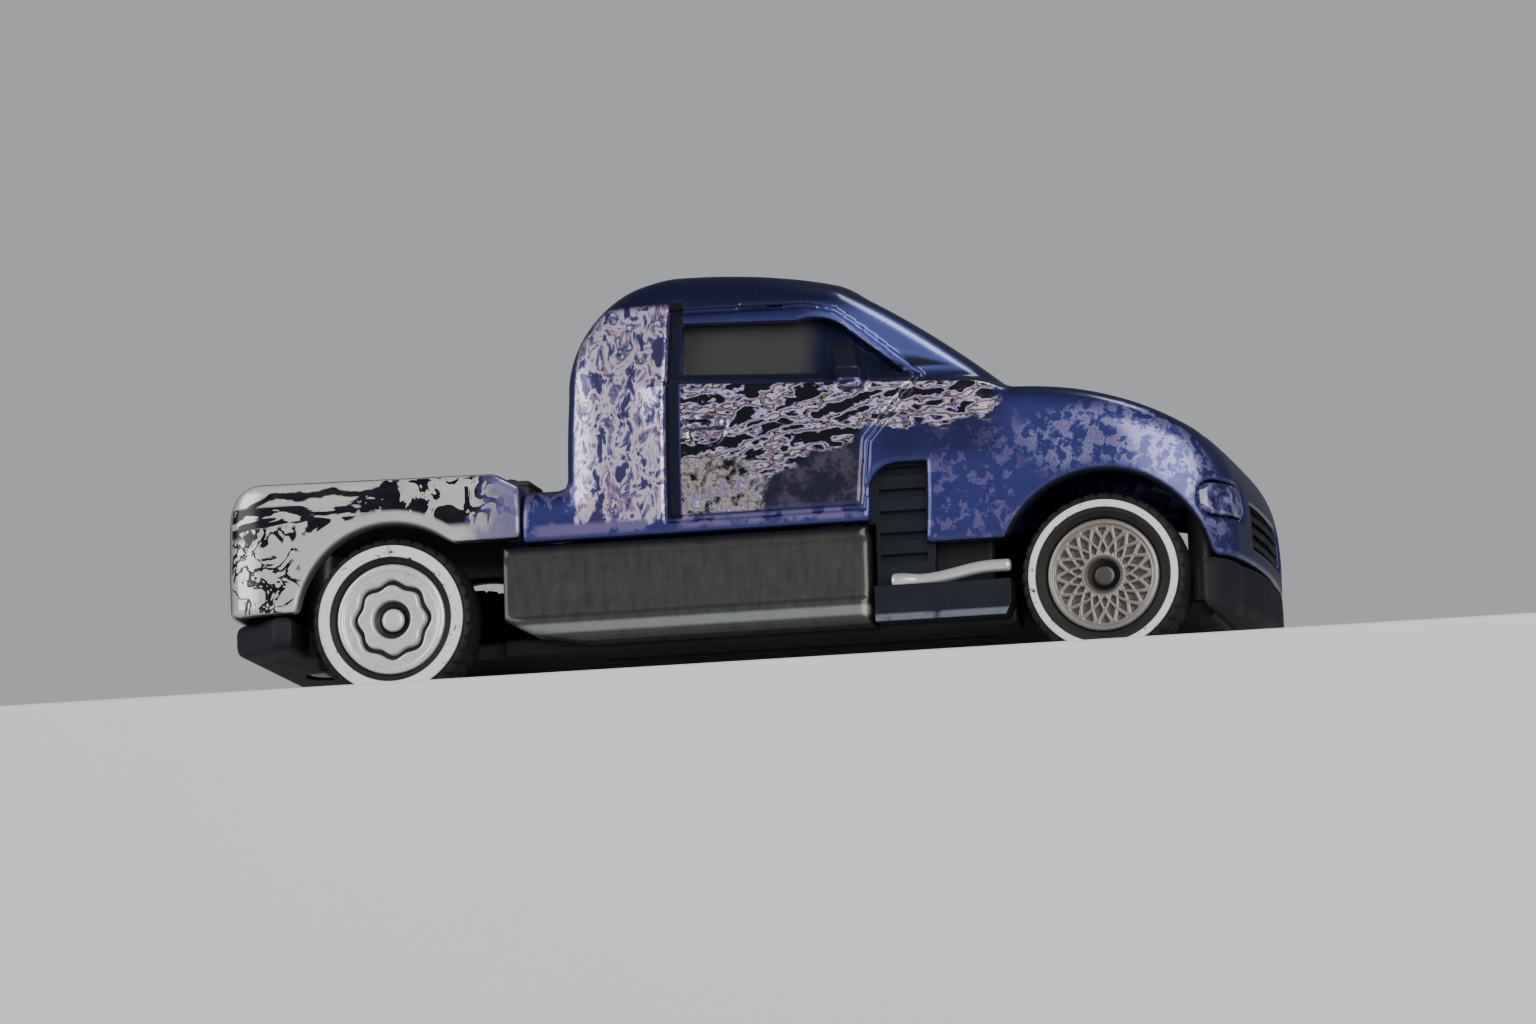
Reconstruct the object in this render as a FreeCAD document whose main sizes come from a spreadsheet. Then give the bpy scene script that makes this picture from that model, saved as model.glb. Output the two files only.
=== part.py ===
"""A three-inch die-cast toy tow truck, as an assembly of separate pieces.

Frame: millimetres, +X to the nose, +Y to the driver's left, +Z up. The origin is on the ground, under the
middle of the truck's length. A painted cab casting and a bare rear bed casting are riveted down on a
moulded chassis base. The base carries two wire axles with a wheel at each end. A tow boom with a hook
folds flat into the bed, behind the cab.
"""

import FreeCAD, Part
import math
import os
import re

import Sketcher
from FreeCAD import Placement, Rotation, Vector

# ---------------------------------------------------------------- driving sizes, in millimetres

SIZES = {
    # overall
    "half_width": 15.5,
    "nose_x": 38.4,
    "tail_x": -38.4,
    "wall": 1.3,
    "gap": 0.1,
    # axles and wheels
    "front_axle_x": 28,
    "rear_axle_x": -25,
    "axle_z": 6,
    "axle_radius": 0.6,
    "axle_play": 0.05,
    "axle_head_radius": 0.85,
    "axle_head_height": 0.4,
    "axle_half_length": 14.6,
    "tyre_radius": 6,
    "tyre_width": 4.4,
    "tyre_face_y": 15.2,
    "rim_radius": 4.1,
    "ring_inner_radius": 4.75,
    "ring_outer_radius": 5.5,
    "ring_rise": 0.12,
    "hub_radius": 1.45,
    "hub_recess_radius": 1.15,
    "hub_recess_floor": 1.1,
    # cab casting, side view
    "cab_rear_x": -15,
    "cab_back_x": -11.8,
    "ledge_z": 15.2,
    "sill_z": 11,
    "back_top_z": 22,
    "roof_rear_x": -5.2,
    "roof_z": 31.2,
    "roof_front_x": 8.6,
    "roof_front_z": 29.6,
    "cowl_x": 21,
    "cowl_z": 20.9,
    "hood_front_x": 34,
    "hood_front_z": 17.3,
    "nose_z": 8.6,
    "nose_base_z": 7.3,
    "fender_low_z": 9.2,
    "fender_rear_x": 14.8,
    "arch_radius": 7.6,
    # cab casting, plan and end view
    "corner_x": 28.5,
    "fascia_x": 37.4,
    "fascia_half_width": 10.7,
    "shoulder_low_z": 14,
    "shoulder_half_width": 14.6,
    "belt_z": 20.8,
    "belt_half_width": 13.9,
    "roof_half_width": 11,
    # cab openings
    "door_glass_rear_x": -3.1,
    "door_glass_front_x": 13.7,
    "door_glass_rear_low_z": 23,
    "door_glass_front_low_z": 22.1,
    "door_glass_high_z": 26.5,
    "screen_half_width": 10,
    "rear_glass_half_width": 7.5,
    "rear_glass_low_z": 21.5,
    "rear_glass_high_z": 27.5,
    "groove_width": 0.3,
    "groove_depth": 0.25,
    "door_rear_x": -4,
    "door_front_x": 10.5,
    "door_low_z": 12.1,
    "hood_half_width": 11.4,
    "grille_pitch": 0.95,
    "mirror_x": 9.4,
    "mirror_inner_y": 13.4,
    "vent_rear_x": 11,
    "vent_front_x": 14.8,
    "vent_top_z": 15.2,
    # rear bed casting
    "bed_front_x": -15.1,
    "bed_low_z": 11.4,
    "rail_front_z": 15.3,
    "rail_z": 16.4,
    "tail_rail_z": 16.7,
    "tail_turn_x": -34.9,
    "tail_low_z": 6.9,
    "bed_arch_radius": 7.2,
    "bed_floor_z": 14.3,
    "bed_core_z": 13.3,
    "rail_inner_y": 12.7,
    "well_rear_x": -36.1,
    "tail_corner_x": -34,
    "tail_face_half_width": 11.5,
    # chassis base
    "base_low_z": 3.2,
    "base_top_z": 4.5,
    "pan_half_width": 10.2,
    "mid_half_width": 11.4,
    "pan_rear_x": -32,
    "pan_front_x": 35.2,
    "tail_block_low_z": 4.3,
    "tail_block_top_z": 6.8,
    "dam_low_z": 3.3,
    "dam_top_z": 7.2,
    "step_wall_top_z": 10.6,
    "bearing_half_length": 1.7,
    "bearing_inner_y": 7,
    "bearing_top_z": 7.3,
    "tub_floor_z": 9,
    # rivet posts
    "front_post_x": 33.2,
    "middle_post_x": -13.4,
    "rear_post_x": -34,
    "post_radius": 1.3,
    "neck_radius": 0.9,
    "rivet_head_radius": 1.45,
    "rivet_sink": 0.7,
    # side skirts and steps
    "skirt_rear_x": -16.9,
    "skirt_front_x": 10.8,
    "skirt_low_z": 3.6,
    "skirt_top_z": 10.8,
    "skirt_inner_y": 11.5,
    "skirt_outer_y": 15.1,
    "peg_radius": 0.7,
    "step_rear_x": 11.2,
    "step_front_x": 21.2,
    "step_top_z": 6.2,
    "step_inner_y": 12.9,
    "pipe_radius": 0.42,
    # glass and cabin
    "glass": 0.8,
    "glass_low_z": 19.7,
    "cabin_rear_x": -10.3,
    "cabin_front_x": 14,
    "cabin_half_width": 11.3,
    "seat_y": 5.6,
    "wheel_ring_radius": 2,
    "wheel_ring_thickness": 0.32,
    "wheel_column_length": 2.4,
    # tow gear
    "deck_thickness": 0.7,
    "pivot_x": -18.4,
    "pivot_z": 16.6,
    "pin_radius": 0.55,
    "pin_play": 0.05,
    "cheek_inner_y": 3.5,
    "cheek_thickness": 1,
    "boom_root_half_width": 3.4,
    "boom_tip_x": -31,
    "boom_tip_half_width": 1.35,
    "boom_half_height": 0.9,
    "hook_pin_x": -30.2,
    "hook_reach": 3.6,
    "hook_bowl_radius": 1.3,
    "hook_throat_radius": 0.65,
    "hook_pin_radius": 0.45,
    "hook_half_thickness": 0.45,
}

doc = FreeCAD.newDocument("toy_tow_truck")
sheet = doc.addObject("Spreadsheet::Sheet", "Sizes")
for row, (alias, value) in enumerate(SIZES.items(), start=1):
    sheet.set(f"A{row}", alias)
    sheet.set(f"B{row}", str(value))
    sheet.setAlias(f"B{row}", alias)
doc.recompute()

# ---------------------------------------------------------------- helpers


def cells(text):
    """An expression over the size sheet: every word that is a size's name becomes a cell of the sheet."""
    return re.sub(r"[a-z_]{3,}", lambda word: "Sizes." + word.group(), str(text))


def amount(text):
    """The number, in millimetres, that an expression over the size sheet gives."""
    return float(sheet.evalExpression(cells(text)))


def new_body(name):
    body = doc.addObject("PartDesign::Body", name)
    body.Label = name
    return body


def new_sketch(body, plane, offset="0"):
    """A sketch on one of the body's own origin planes, moved along the plane's normal by offset.

    The normals are +Z for XY_Plane, -Y for XZ_Plane and +X for YZ_Plane.
    """
    sketch = body.newObject("Sketcher::SketchObject", body.Name + "_sketch")
    origin_plane = next(f for f in body.Origin.OriginFeatures if f.Role == plane)
    sketch.AttachmentSupport = [(origin_plane, "")]
    sketch.MapMode = "FlatFace"
    sketch.setExpression("AttachmentOffset.Base.z", cells(offset))
    return sketch


def pin_point(sketch, edge, end, across, up):
    """Dimensions one end of a sketch edge from the sketch's origin, bound to the size sheet."""
    for kind, text in (("DistanceX", across), ("DistanceY", up)):
        index = sketch.addConstraint(Sketcher.Constraint(kind, -1, 1, edge, end, amount(text)))
        sketch.setExpression(f"Constraints[{index}]", cells(text))


def arc_through(start, via, end):
    """An arc by three points, always drawn anticlockwise, and whether that swapped its ends."""
    round_edge = Part.Arc(start, via, end).toShape().Curve
    centre = round_edge.Center
    clockwise = (via - start).cross(end - via).z < 0
    low, high = (end, start) if clockwise else (start, end)
    low_angle = math.atan2(low.y - centre.y, low.x - centre.x)
    high_angle = math.atan2(high.y - centre.y, high.x - centre.x)
    if high_angle < low_angle:
        high_angle += 2 * math.pi
    flat = Part.Circle(centre, Vector(0, 0, 1), round_edge.Radius)
    return Part.ArcOfCircle(flat, low_angle, high_angle), clockwise


def outline(sketch, corners):
    """Adds a closed outline. A corner is (across, up); (across, up, via_across, via_up) says that the edge
    from it to the next corner is an arc through the via point."""
    for here, there in zip(corners, corners[1:] + corners[:1]):
        start = Vector(amount(here[0]), amount(here[1]), 0)
        end = Vector(amount(there[0]), amount(there[1]), 0)
        if len(here) == 4:
            arc, swapped = arc_through(start, Vector(amount(here[2]), amount(here[3]), 0), end)
            edge = sketch.addGeometry(arc)
            sketch.addConstraint(Sketcher.Constraint("Radius", edge, arc.Radius))
        else:
            swapped = False
            edge = sketch.addGeometry(Part.LineSegment(start, end))
        pin_point(sketch, edge, 2 if swapped else 1, here[0], here[1])
        pin_point(sketch, edge, 1 if swapped else 2, there[0], there[1])
    return sketch


def rectangle(sketch, low_across, low_up, high_across, high_up):
    return outline(
        sketch,
        [(low_across, low_up), (high_across, low_up), (high_across, high_up), (low_across, high_up)],
    )


def circle(sketch, across, up, radius):
    edge = sketch.addGeometry(
        Part.Circle(Vector(amount(across), amount(up), 0), Vector(0, 0, 1), amount(radius))
    )
    pin_point(sketch, edge, 3, across, up)
    index = sketch.addConstraint(Sketcher.Constraint("Radius", edge, amount(radius)))
    sketch.setExpression(f"Constraints[{index}]", cells(radius))
    return sketch


def pad(sketch, length, symmetric=False):
    """Pads a sketch along its normal, or half to each side."""
    body = sketch.getParentGeoFeatureGroup()
    feature = body.newObject("PartDesign::Pad", body.Name + "_pad")
    feature.Profile = sketch
    feature.SideType = "Symmetric" if symmetric else "One side"
    feature.setExpression("Length", cells(length))
    doc.recompute()
    return feature


def pocket(sketch, length=None, symmetric=False, along_normal=True):
    """Cuts a sketch through everything, or by length, and stops if it removes nothing."""
    body = sketch.getParentGeoFeatureGroup()
    before = body.Shape.Volume
    feature = body.newObject("PartDesign::Pocket", body.Name + "_pocket")
    feature.Profile = sketch
    feature.SideType = "Symmetric" if symmetric else "One side"
    feature.Reversed = along_normal
    if length is None:
        feature.Type = "ThroughAll"
    else:
        feature.setExpression("Length", cells(length))
    doc.recompute()
    if body.Shape.Volume > before - 1e-4:
        raise RuntimeError(f"{feature.Name} cuts nothing")
    return feature


def revolve(sketch):
    """Turns a profile drawn in the XY plane about the Y axis, which is a wheel's axle line."""
    body = sketch.getParentGeoFeatureGroup()
    feature = body.newObject("PartDesign::Revolution", body.Name + "_turn")
    feature.Profile = sketch
    feature.ReferenceAxis = (sketch, ["V_Axis"])
    feature.Angle = 360
    doc.recompute()
    return feature


def around(body, feature, count):
    """Repeats one feature evenly about the Y axis."""
    pattern = body.newObject("PartDesign::PolarPattern", body.Name + "_ring")
    pattern.Originals = [feature]
    axis = next(f for f in body.Origin.OriginFeatures if f.Role == "Y_Axis")
    pattern.Axis = (axis, [""])
    pattern.Angle = 360
    pattern.Occurrences = count
    body.Tip = pattern
    doc.recompute()
    return pattern


def fillet(body, radius, wanted):
    """Rounds every edge of the body's shape for which wanted(edge) is true."""
    tip = body.Tip
    names = [f"Edge{i}" for i, edge in enumerate(body.Shape.Edges, start=1) if wanted(edge)]
    feature = body.newObject("PartDesign::Fillet", body.Name + "_round")
    feature.Base = (tip, names)
    feature.setExpression("Radius", cells(radius))
    doc.recompute()
    return feature


def within(edge, low, high):
    """True if the whole edge lies in the box from low to high."""
    box = edge.BoundBox
    return all(
        low[axis] - 1e-3 <= small and big <= high[axis] + 1e-3
        for axis, (small, big) in enumerate(
            ((box.XMin, box.XMax), (box.YMin, box.YMax), (box.ZMin, box.ZMax))
        )
    )


def cylinder(name, radius, length, place, axis="Z"):
    """A cylinder that starts at place and runs along a row axis."""
    turns = {
        "X": Rotation(Vector(0, 1, 0), 90),
        "Y": Rotation(Vector(1, 0, 0), -90),
        "Z": Rotation(),
    }
    made = doc.addObject("Part::Cylinder", name)
    made.setExpression("Radius", cells(radius))
    made.setExpression("Height", cells(length))
    made.Placement = Placement(Vector(0, 0, 0), turns[axis])
    for letter, text in zip("xyz", place):
        made.setExpression(f"Placement.Base.{letter}", cells(text))
    return made


def block(name, low, high):
    """A box between two corners given as expressions."""
    made = doc.addObject("Part::Box", name)
    for prop, letter, small, big in zip(("Length", "Width", "Height"), "xyz", low, high):
        made.setExpression(prop, cells(f"({big}) - ({small})"))
        made.setExpression(f"Placement.Base.{letter}", cells(small))
    return made


def join(name, pieces):
    made = doc.addObject("Part::MultiFuse", name)
    made.Shapes = pieces
    made.Refine = True
    doc.recompute()
    return made


def cut(name, base, tool):
    made = doc.addObject("Part::Cut", name)
    made.Base = base
    made.Tool = tool
    made.Refine = True
    doc.recompute()
    return made


def common(name, pieces):
    made = doc.addObject("Part::MultiCommon", name)
    made.Shapes = pieces
    doc.recompute()
    return made


nodes = {}


def node(name, made):
    """Keeps a finished object as the sub-part of that name."""
    made.Label = name
    nodes[name] = made
    return made


SIDES = {"right": -1, "left": 1}

# ---------------------------------------------------------------- wheels and axles


def place_wheel_part(body, end, side):
    """A wheel piece is drawn about the Y axis, with its outer face at y = 0 and its body towards +Y."""
    turn = Rotation(Vector(0, 0, 1), 0 if side == "right" else 180)
    body.Placement = Placement(Vector(0, 0, 0), turn)
    body.setExpression("Placement.Base.x", cells(f"{end}_axle_x"))
    body.setExpression("Placement.Base.y", cells(f"{SIDES[side]} * tyre_face_y"))
    body.setExpression("Placement.Base.z", cells("axle_z"))


def make_tyre(end, side):
    """A rubber tyre with rounded shoulders and a raised ring round its outer wall."""
    body = new_body(f"{end}_{side}_tyre")
    profile = [
        ("rim_radius", "0.3"),
        ("rim_radius + 0.25", "ring_rise"),
        ("ring_inner_radius", "ring_rise"),
        ("ring_inner_radius", "0"),
        ("ring_outer_radius", "0"),
        ("ring_outer_radius", "ring_rise", "tyre_radius - 0.12", "0.35"),
        ("tyre_radius", "0.8"),
        ("tyre_radius", "tyre_width - 0.8", "tyre_radius - 0.23", "tyre_width - 0.23"),
        ("tyre_radius - 0.8", "tyre_width"),
        ("rim_radius", "tyre_width"),
    ]
    revolve(outline(new_sketch(body, "XY_Plane"), profile))
    place_wheel_part(body, end, side)
    return node(f"{end}_{side}_tyre", body)


def rim_profile(dish, disc):
    """Half section of a rim: barrel, outer lip, dished disc and a hub with a recess for the axle's head."""
    return [
        ("axle_radius + axle_play", "hub_recess_floor"),
        ("hub_recess_radius", "hub_recess_floor"),
        ("hub_recess_radius", "0.35"),
        ("hub_radius + 0.25", "0.35"),
        ("hub_radius + 0.25", dish),
        ("rim_radius - 0.5", dish),
        ("rim_radius - 0.35", "0.15"),
        ("rim_radius", "0.15"),
        ("rim_radius", "tyre_width"),
        ("rim_radius - 0.5", "tyre_width"),
        ("rim_radius - 0.5", f"{dish} + {disc}"),
        ("hub_radius", f"{dish} + {disc}"),
        ("hub_radius", "tyre_width"),
        ("axle_radius + axle_play", "tyre_width"),
    ]


def make_front_rim(side):
    """A shallow wheel centre with twelve fine spokes."""
    body = new_body(f"front_{side}_rim")
    revolve(outline(new_sketch(body, "XY_Plane"), rim_profile("0.6", "0.7")))
    slot = [
        ("1.85", "-0.17"),
        ("3.35", "-0.42"),
        ("3.35", "0.42"),
        ("1.85", "0.17"),
    ]
    window = pocket(outline(new_sketch(body, "XZ_Plane"), slot), symmetric=True)
    around(body, window, 12)
    place_wheel_part(body, "front", side)
    return node(f"front_{side}_rim", body)


def make_rear_rim(side):
    """A deeper steel-style wheel centre with eight hand holes round a raised boss."""
    body = new_body(f"rear_{side}_rim")
    revolve(outline(new_sketch(body, "XY_Plane"), rim_profile("1", "0.7")))
    hand_hole = circle(new_sketch(body, "XZ_Plane"), "2.55", "0", "0.42")
    around(body, pocket(hand_hole, symmetric=True), 8)
    place_wheel_part(body, "rear", side)
    return node(f"rear_{side}_rim", body)


def make_axle(end):
    """A steel wire axle whose ends are formed into round heads, which keep the wheels on."""
    body = new_body(f"{end}_axle")
    neck = "axle_half_length - axle_head_height"
    profile = [
        ("0", "-axle_half_length"),
        ("axle_head_radius - 0.3", "-axle_half_length", "axle_head_radius - 0.07", f"-({neck}) - 0.28"),
        ("axle_head_radius", f"-({neck})"),
        ("axle_radius", f"-({neck})"),
        ("axle_radius", neck),
        ("axle_head_radius", neck, "axle_head_radius - 0.07", f"{neck} + 0.28"),
        ("axle_head_radius - 0.3", "axle_half_length"),
        ("0", "axle_half_length"),
    ]
    revolve(outline(new_sketch(body, "XY_Plane"), profile))
    body.setExpression("Placement.Base.x", cells(f"{end}_axle_x"))
    body.setExpression("Placement.Base.z", cells("axle_z"))
    return node(f"{end}_axle", body)


# ---------------------------------------------------------------- castings


def cab_volume(name, inset):
    """The cab's outer form, with every surface moved inwards by inset: the casting's skin, the core that
    hollows it, and the two faces of the glass all come from this one shape."""
    body = new_body(name)
    side_view = [
        (f"cab_rear_x + {inset}", "sill_z" if inset == "0" else "0"),
        (f"cab_rear_x + {inset}", f"ledge_z - {inset}"),
        (f"cab_back_x + {inset}", f"ledge_z - {inset}"),
        (f"cab_back_x + {inset}", "back_top_z",
         f"cab_back_x + 1.9 + 0.8 * {inset}", f"28.4 - 0.6 * {inset}"),
        ("roof_rear_x", f"roof_z - {inset}", "2", f"roof_z - 0.25 - {inset}"),
        (f"roof_front_x - 0.3 * {inset}", f"roof_front_z - {inset}",
         f"15 - 0.6 * {inset}", f"25.5 - 0.8 * {inset}"),
        (f"cowl_x - 0.3 * {inset}", f"cowl_z - {inset}", "28.2", f"19.8 - {inset}"),
        (f"hood_front_x - 0.5 * {inset}", f"hood_front_z - 0.9 * {inset}",
         f"37.5 - 0.8 * {inset}", f"13.4 - 0.6 * {inset}"),
        (f"nose_x - {inset}", "nose_z"),
    ]
    if inset == "0":
        side_view += [
            ("nose_x - 0.3", "nose_base_z"),
            ("front_axle_x", "nose_base_z"),
            ("front_axle_x", "fender_low_z"),
            ("fender_rear_x", "fender_low_z"),
            ("fender_rear_x", "sill_z"),
        ]
    else:
        side_view += [(f"nose_x - {inset}", "0")]
    pad(outline(new_sketch(body, "XZ_Plane"), side_view), "2 * half_width", symmetric=True)
    for sign in (-1, 1):
        corner = [
            (f"corner_x", f"{sign} * (half_width - {inset})",
             f"33.7 - 0.5 * {inset}", f"{sign} * (14.2 - 0.87 * {inset})"),
            (f"fascia_x - 0.93 * {inset}", f"{sign} * (fascia_half_width - 0.4 * {inset})",
             f"nose_x - 0.05 - {inset}", f"{sign} * 5.6"),
            (f"nose_x + 0.4 - {inset}", "0"),
            ("45", "0"),
            ("45", f"{sign} * 20"),
            ("-20", f"{sign} * 20"),
            ("-20", f"{sign} * (half_width - {inset})"),
        ]
        pocket(outline(new_sketch(body, "XY_Plane"), corner))
    for sign in (-1, 1):
        shoulder = [
            (f"{sign} * (half_width - {inset})", "shoulder_low_z",
             f"{sign} * (half_width - 0.22 - {inset})", f"17.7 - 0.1 * {inset}"),
            (f"{sign} * (shoulder_half_width - {inset})", f"belt_z - 0.3 * {inset}"),
            (f"{sign} * (belt_half_width - {inset})", f"belt_z + 0.2 - 0.3 * {inset}"),
            (f"{sign} * (roof_half_width - {inset})", "32"),
            (f"{sign} * 17", "32"),
            (f"{sign} * 17", "shoulder_low_z"),
        ]
        pocket(outline(new_sketch(body, "YZ_Plane"), shoulder), symmetric=True)
    return body


def make_posts(prefix, stations):
    """Cast posts that pass through the base; each end is spun over into a rivet head."""
    pieces = []
    for name, across, seat, plate_low, top in stations:
        pieces += [
            cylinder(f"{name}_post", "post_radius", f"({top}) - ({seat})", (across, "0", seat)),
            cylinder(
                f"{name}_neck",
                "neck_radius",
                f"({seat}) - ({plate_low}) - 0.1",
                (across, "0", f"{plate_low} + 0.1"),
            ),
            cylinder(
                f"{name}_head",
                "rivet_head_radius",
                "rivet_sink - 0.2",
                (across, "0", f"{plate_low} + 0.1"),
            ),
        ]
    return pieces


def make_cab():
    """The painted cab casting: cab, hood, front wings and a thin sill lip, hollow from below."""
    skin = cab_volume("cab_skin", "0")
    core = cab_volume("cab_core", "wall")

    pocket(circle(new_sketch(skin, "XZ_Plane"), "front_axle_x", "axle_z", "arch_radius"), symmetric=True)
    vent = [
        ("vent_rear_x", "fender_low_z - 1"),
        ("vent_rear_x", "12.6", "vent_rear_x + 0.7", "14.7"),
        ("vent_rear_x + 2.1", "vent_top_z"),
        ("vent_front_x + 0.4", "vent_top_z", "vent_front_x + 0.4", "12.5"),
        ("vent_front_x", "fender_low_z - 1"),
    ]
    pocket(outline(new_sketch(skin, "XZ_Plane"), vent), symmetric=True)
    door_glass = [
        ("door_glass_rear_x", "door_glass_rear_low_z"),
        ("door_glass_front_x", "door_glass_front_low_z"),
        ("9.4", "25.6", "8.1", "door_glass_high_z"),
        ("5.5", "door_glass_high_z + 0.1"),
        ("door_glass_rear_x", "door_glass_high_z + 0.4"),
    ]
    pocket(outline(new_sketch(skin, "XZ_Plane"), door_glass), symmetric=True)
    screen = rectangle(
        new_sketch(skin, "XY_Plane", "cowl_z - 1"),
        "roof_front_x + 1.4", "-screen_half_width", "cowl_x - 1.2", "screen_half_width",
    )
    pocket(screen)
    rear_glass = rectangle(
        new_sketch(skin, "YZ_Plane", "cab_back_x - 1"),
        "-rear_glass_half_width", "rear_glass_low_z", "rear_glass_half_width", "rear_glass_high_z",
    )
    pocket(rear_glass, "6")

    posts = make_posts(
        "cab",
        [
            ("front", "front_post_x", "base_top_z", "base_low_z", "hood_front_z - 0.9"),
            ("middle", "middle_post_x", "base_top_z", "base_low_z", "ledge_z - 0.6"),
        ],
    )
    openings = [insert_block(*opening, grow="gap") for opening in NOSE_INSERTS]
    shell = cut("cab_shell", skin, core)
    grooved = cut("cab_grooved", shell, make_shut_lines())
    open_shell = cut("cab_open_shell", grooved, join("cab_openings", openings))
    casting = join("cab_casting", [open_shell] + posts + make_door_fittings())
    return skin, node("cab_casting", casting)


def make_shut_lines():
    """Shallow grooves round both doors and the hood: strips that reach only groove_depth below the skin."""
    door = new_body("door_lines")
    outer = [
        ("door_rear_x", "door_low_z"),
        ("door_front_x", "door_low_z"),
        ("door_front_x + 0.4", "17"),
        ("15", "21.7"),
        ("10.5", "25.9"),
        ("8.4", "27.8"),
        ("6", "28.5"),
        ("-0.6", "28.8"),
        ("door_rear_x", "28.3"),
    ]
    line = "groove_width"
    inner = [
        (f"door_rear_x + {line}", f"door_low_z + {line}"),
        (f"door_front_x - {line}", f"door_low_z + {line}"),
        (f"door_front_x + 0.4 - 0.9 * {line}", f"17 + 0.3 * {line}"),
        (f"15 - 1.4 * {line}", "21.7"),
        (f"10.5 - 0.7 * {line}", f"25.9 - 0.7 * {line}"),
        (f"8.4 - 0.6 * {line}", f"27.8 - 0.8 * {line}"),
        (f"6 - 0.2 * {line}", f"28.5 - {line}"),
        ("-0.6", f"28.8 - {line}"),
        (f"door_rear_x + {line}", f"28.3 - {line}"),
    ]
    pad(outline(outline(new_sketch(door, "XZ_Plane"), outer), inner), "2 * half_width + 2", symmetric=True)
    hood = new_body("hood_line")
    edge = "hood_half_width"
    outer = [
        ("cowl_x + 0.7", f"-({edge})"),
        ("35", f"-({edge}) + 0.7"),
        ("35", f"{edge} - 0.7"),
        ("cowl_x + 0.7", edge),
    ]
    inner = [
        (f"cowl_x + 0.7 + {line}", f"-({edge} - {line})"),
        (f"35 - {line}", f"-({edge} - 0.7 - {line})"),
        (f"35 - {line}", f"{edge} - 0.7 - {line}"),
        (f"cowl_x + 0.7 + {line}", f"{edge} - {line}"),
    ]
    pad(outline(outline(new_sketch(hood, "XY_Plane", "hood_front_z - 4"), outer), inner), "10")
    floor = cab_volume("groove_floor", "groove_depth")
    return cut("shut_lines", join("shut_line_strips", [door, hood]), floor)


def make_door_fittings():
    """A door handle and a stubby door mirror on each side, cast with the cab."""
    pieces = []
    for side, sign in SIDES.items():
        low, high = sorted((f"{sign} * 14.2", f"{sign} * 15.35"), key=amount)
        pieces.append(block(f"{side}_handle", ("-2.4", low, "18.7"), ("0.4", high, "19.4")))
        mirror = new_body(f"{side}_mirror")
        head = [
            ("mirror_x - 1", "belt_z - 0.3"),
            ("mirror_x - 1.1", "belt_z + 3.2"),
            ("mirror_x - 0.2", "belt_z + 3.7"),
            ("mirror_x + 1.2", "belt_z + 2.4"),
            ("mirror_x + 1.5", "belt_z - 0.3"),
        ]
        start = "-mirror_inner_y - 1.9" if side == "left" else "mirror_inner_y"
        pad(outline(new_sketch(mirror, "XZ_Plane", start), head), "1.9")
        pieces.append(mirror)
    return pieces


# name, low corner and high corner of each piece let into the nose or the tail
NOSE_INSERTS = [
    ("grille", ("36", "-6.4", "8.8"), ("45", "6.4", "11.8")),
    ("right_headlight", ("34", "-13", "10.4"), ("45", "-8.6", "12.7")),
    ("left_headlight", ("34", "8.6", "10.4"), ("45", "13", "12.7")),
]
TAIL_INSERTS = [
    ("right_tail_light", ("-45", "-12.6", "9.6"), ("-36.6", "-8.4", "11.6")),
    ("left_tail_light", ("-45", "8.4", "9.6"), ("-36.6", "12.6", "11.6")),
]


def insert_block(name, low, high, grow="0"):
    """The block that a let-in piece is cut from, or the slightly larger one that cuts its opening."""
    return block(
        f"{name}_block",
        [f"{text} - {grow}" for text in low],
        [f"{text} + {grow}" for text in high],
    )


def make_nose_inserts(skin):
    """The grille and the two headlights follow the nose's own surface."""
    grille = common("grille_solid", [skin, insert_block(*NOSE_INSERTS[0])])
    slots = []
    for number in range(3):
        low = f"9.25 + {number} * grille_pitch"
        slots.append(block(f"grille_slot_{number}", ("37.2", "-5.9", low), ("45", "5.9", f"{low} + 0.4")))
    node("grille", cut("grille", grille, join("grille_slots", slots)))
    lights = [common(f"{opening[0]}_solid", [skin, insert_block(*opening)]) for opening in NOSE_INSERTS[1:]]
    node("headlights", join("headlights", lights))


def bed_volume(name, inset):
    """The rear bed's outer form, or the core that hollows it, whose surfaces lie inwards by inset."""
    body = new_body(name)
    if inset == "0":
        side_view = [
            ("bed_front_x", "bed_low_z"),
            ("bed_front_x", "rail_front_z"),
            ("bed_front_x - 2", "rail_z"),
            ("tail_turn_x", "tail_rail_z", "tail_x + 1", "15.5"),
            ("tail_x + 0.25", "13.2"),
            ("tail_x", "10"),
            ("tail_x + 0.5", "tail_low_z"),
            ("rear_axle_x", "tail_low_z"),
            ("rear_axle_x", "bed_low_z"),
        ]
    else:
        side_view = [
            (f"bed_front_x - {inset}", "0"),
            (f"bed_front_x - {inset}", "bed_core_z"),
            (f"tail_x + 0.4 + {inset}", "bed_core_z"),
            (f"tail_x + 0.4 + {inset}", "0"),
        ]
    pad(outline(new_sketch(body, "XZ_Plane"), side_view), "2 * half_width", symmetric=True)
    for sign in (-1, 1):
        corner = [
            (f"tail_corner_x + {inset}", f"{sign} * (half_width - {inset})",
             f"-37.2 + 0.8 * {inset}", f"{sign} * (14.3 - 0.7 * {inset})"),
            (f"tail_x + 0.4 + {inset}", f"{sign} * (tail_face_half_width - 0.4 * {inset})"),
            (f"tail_x - 1 + {inset}", "0"),
            ("-45", "0"),
            ("-45", f"{sign} * 20"),
            ("-10", f"{sign} * 20"),
            ("-10", f"{sign} * (half_width - {inset})"),
        ]
        pocket(outline(new_sketch(body, "XY_Plane"), corner))
    return body


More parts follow.
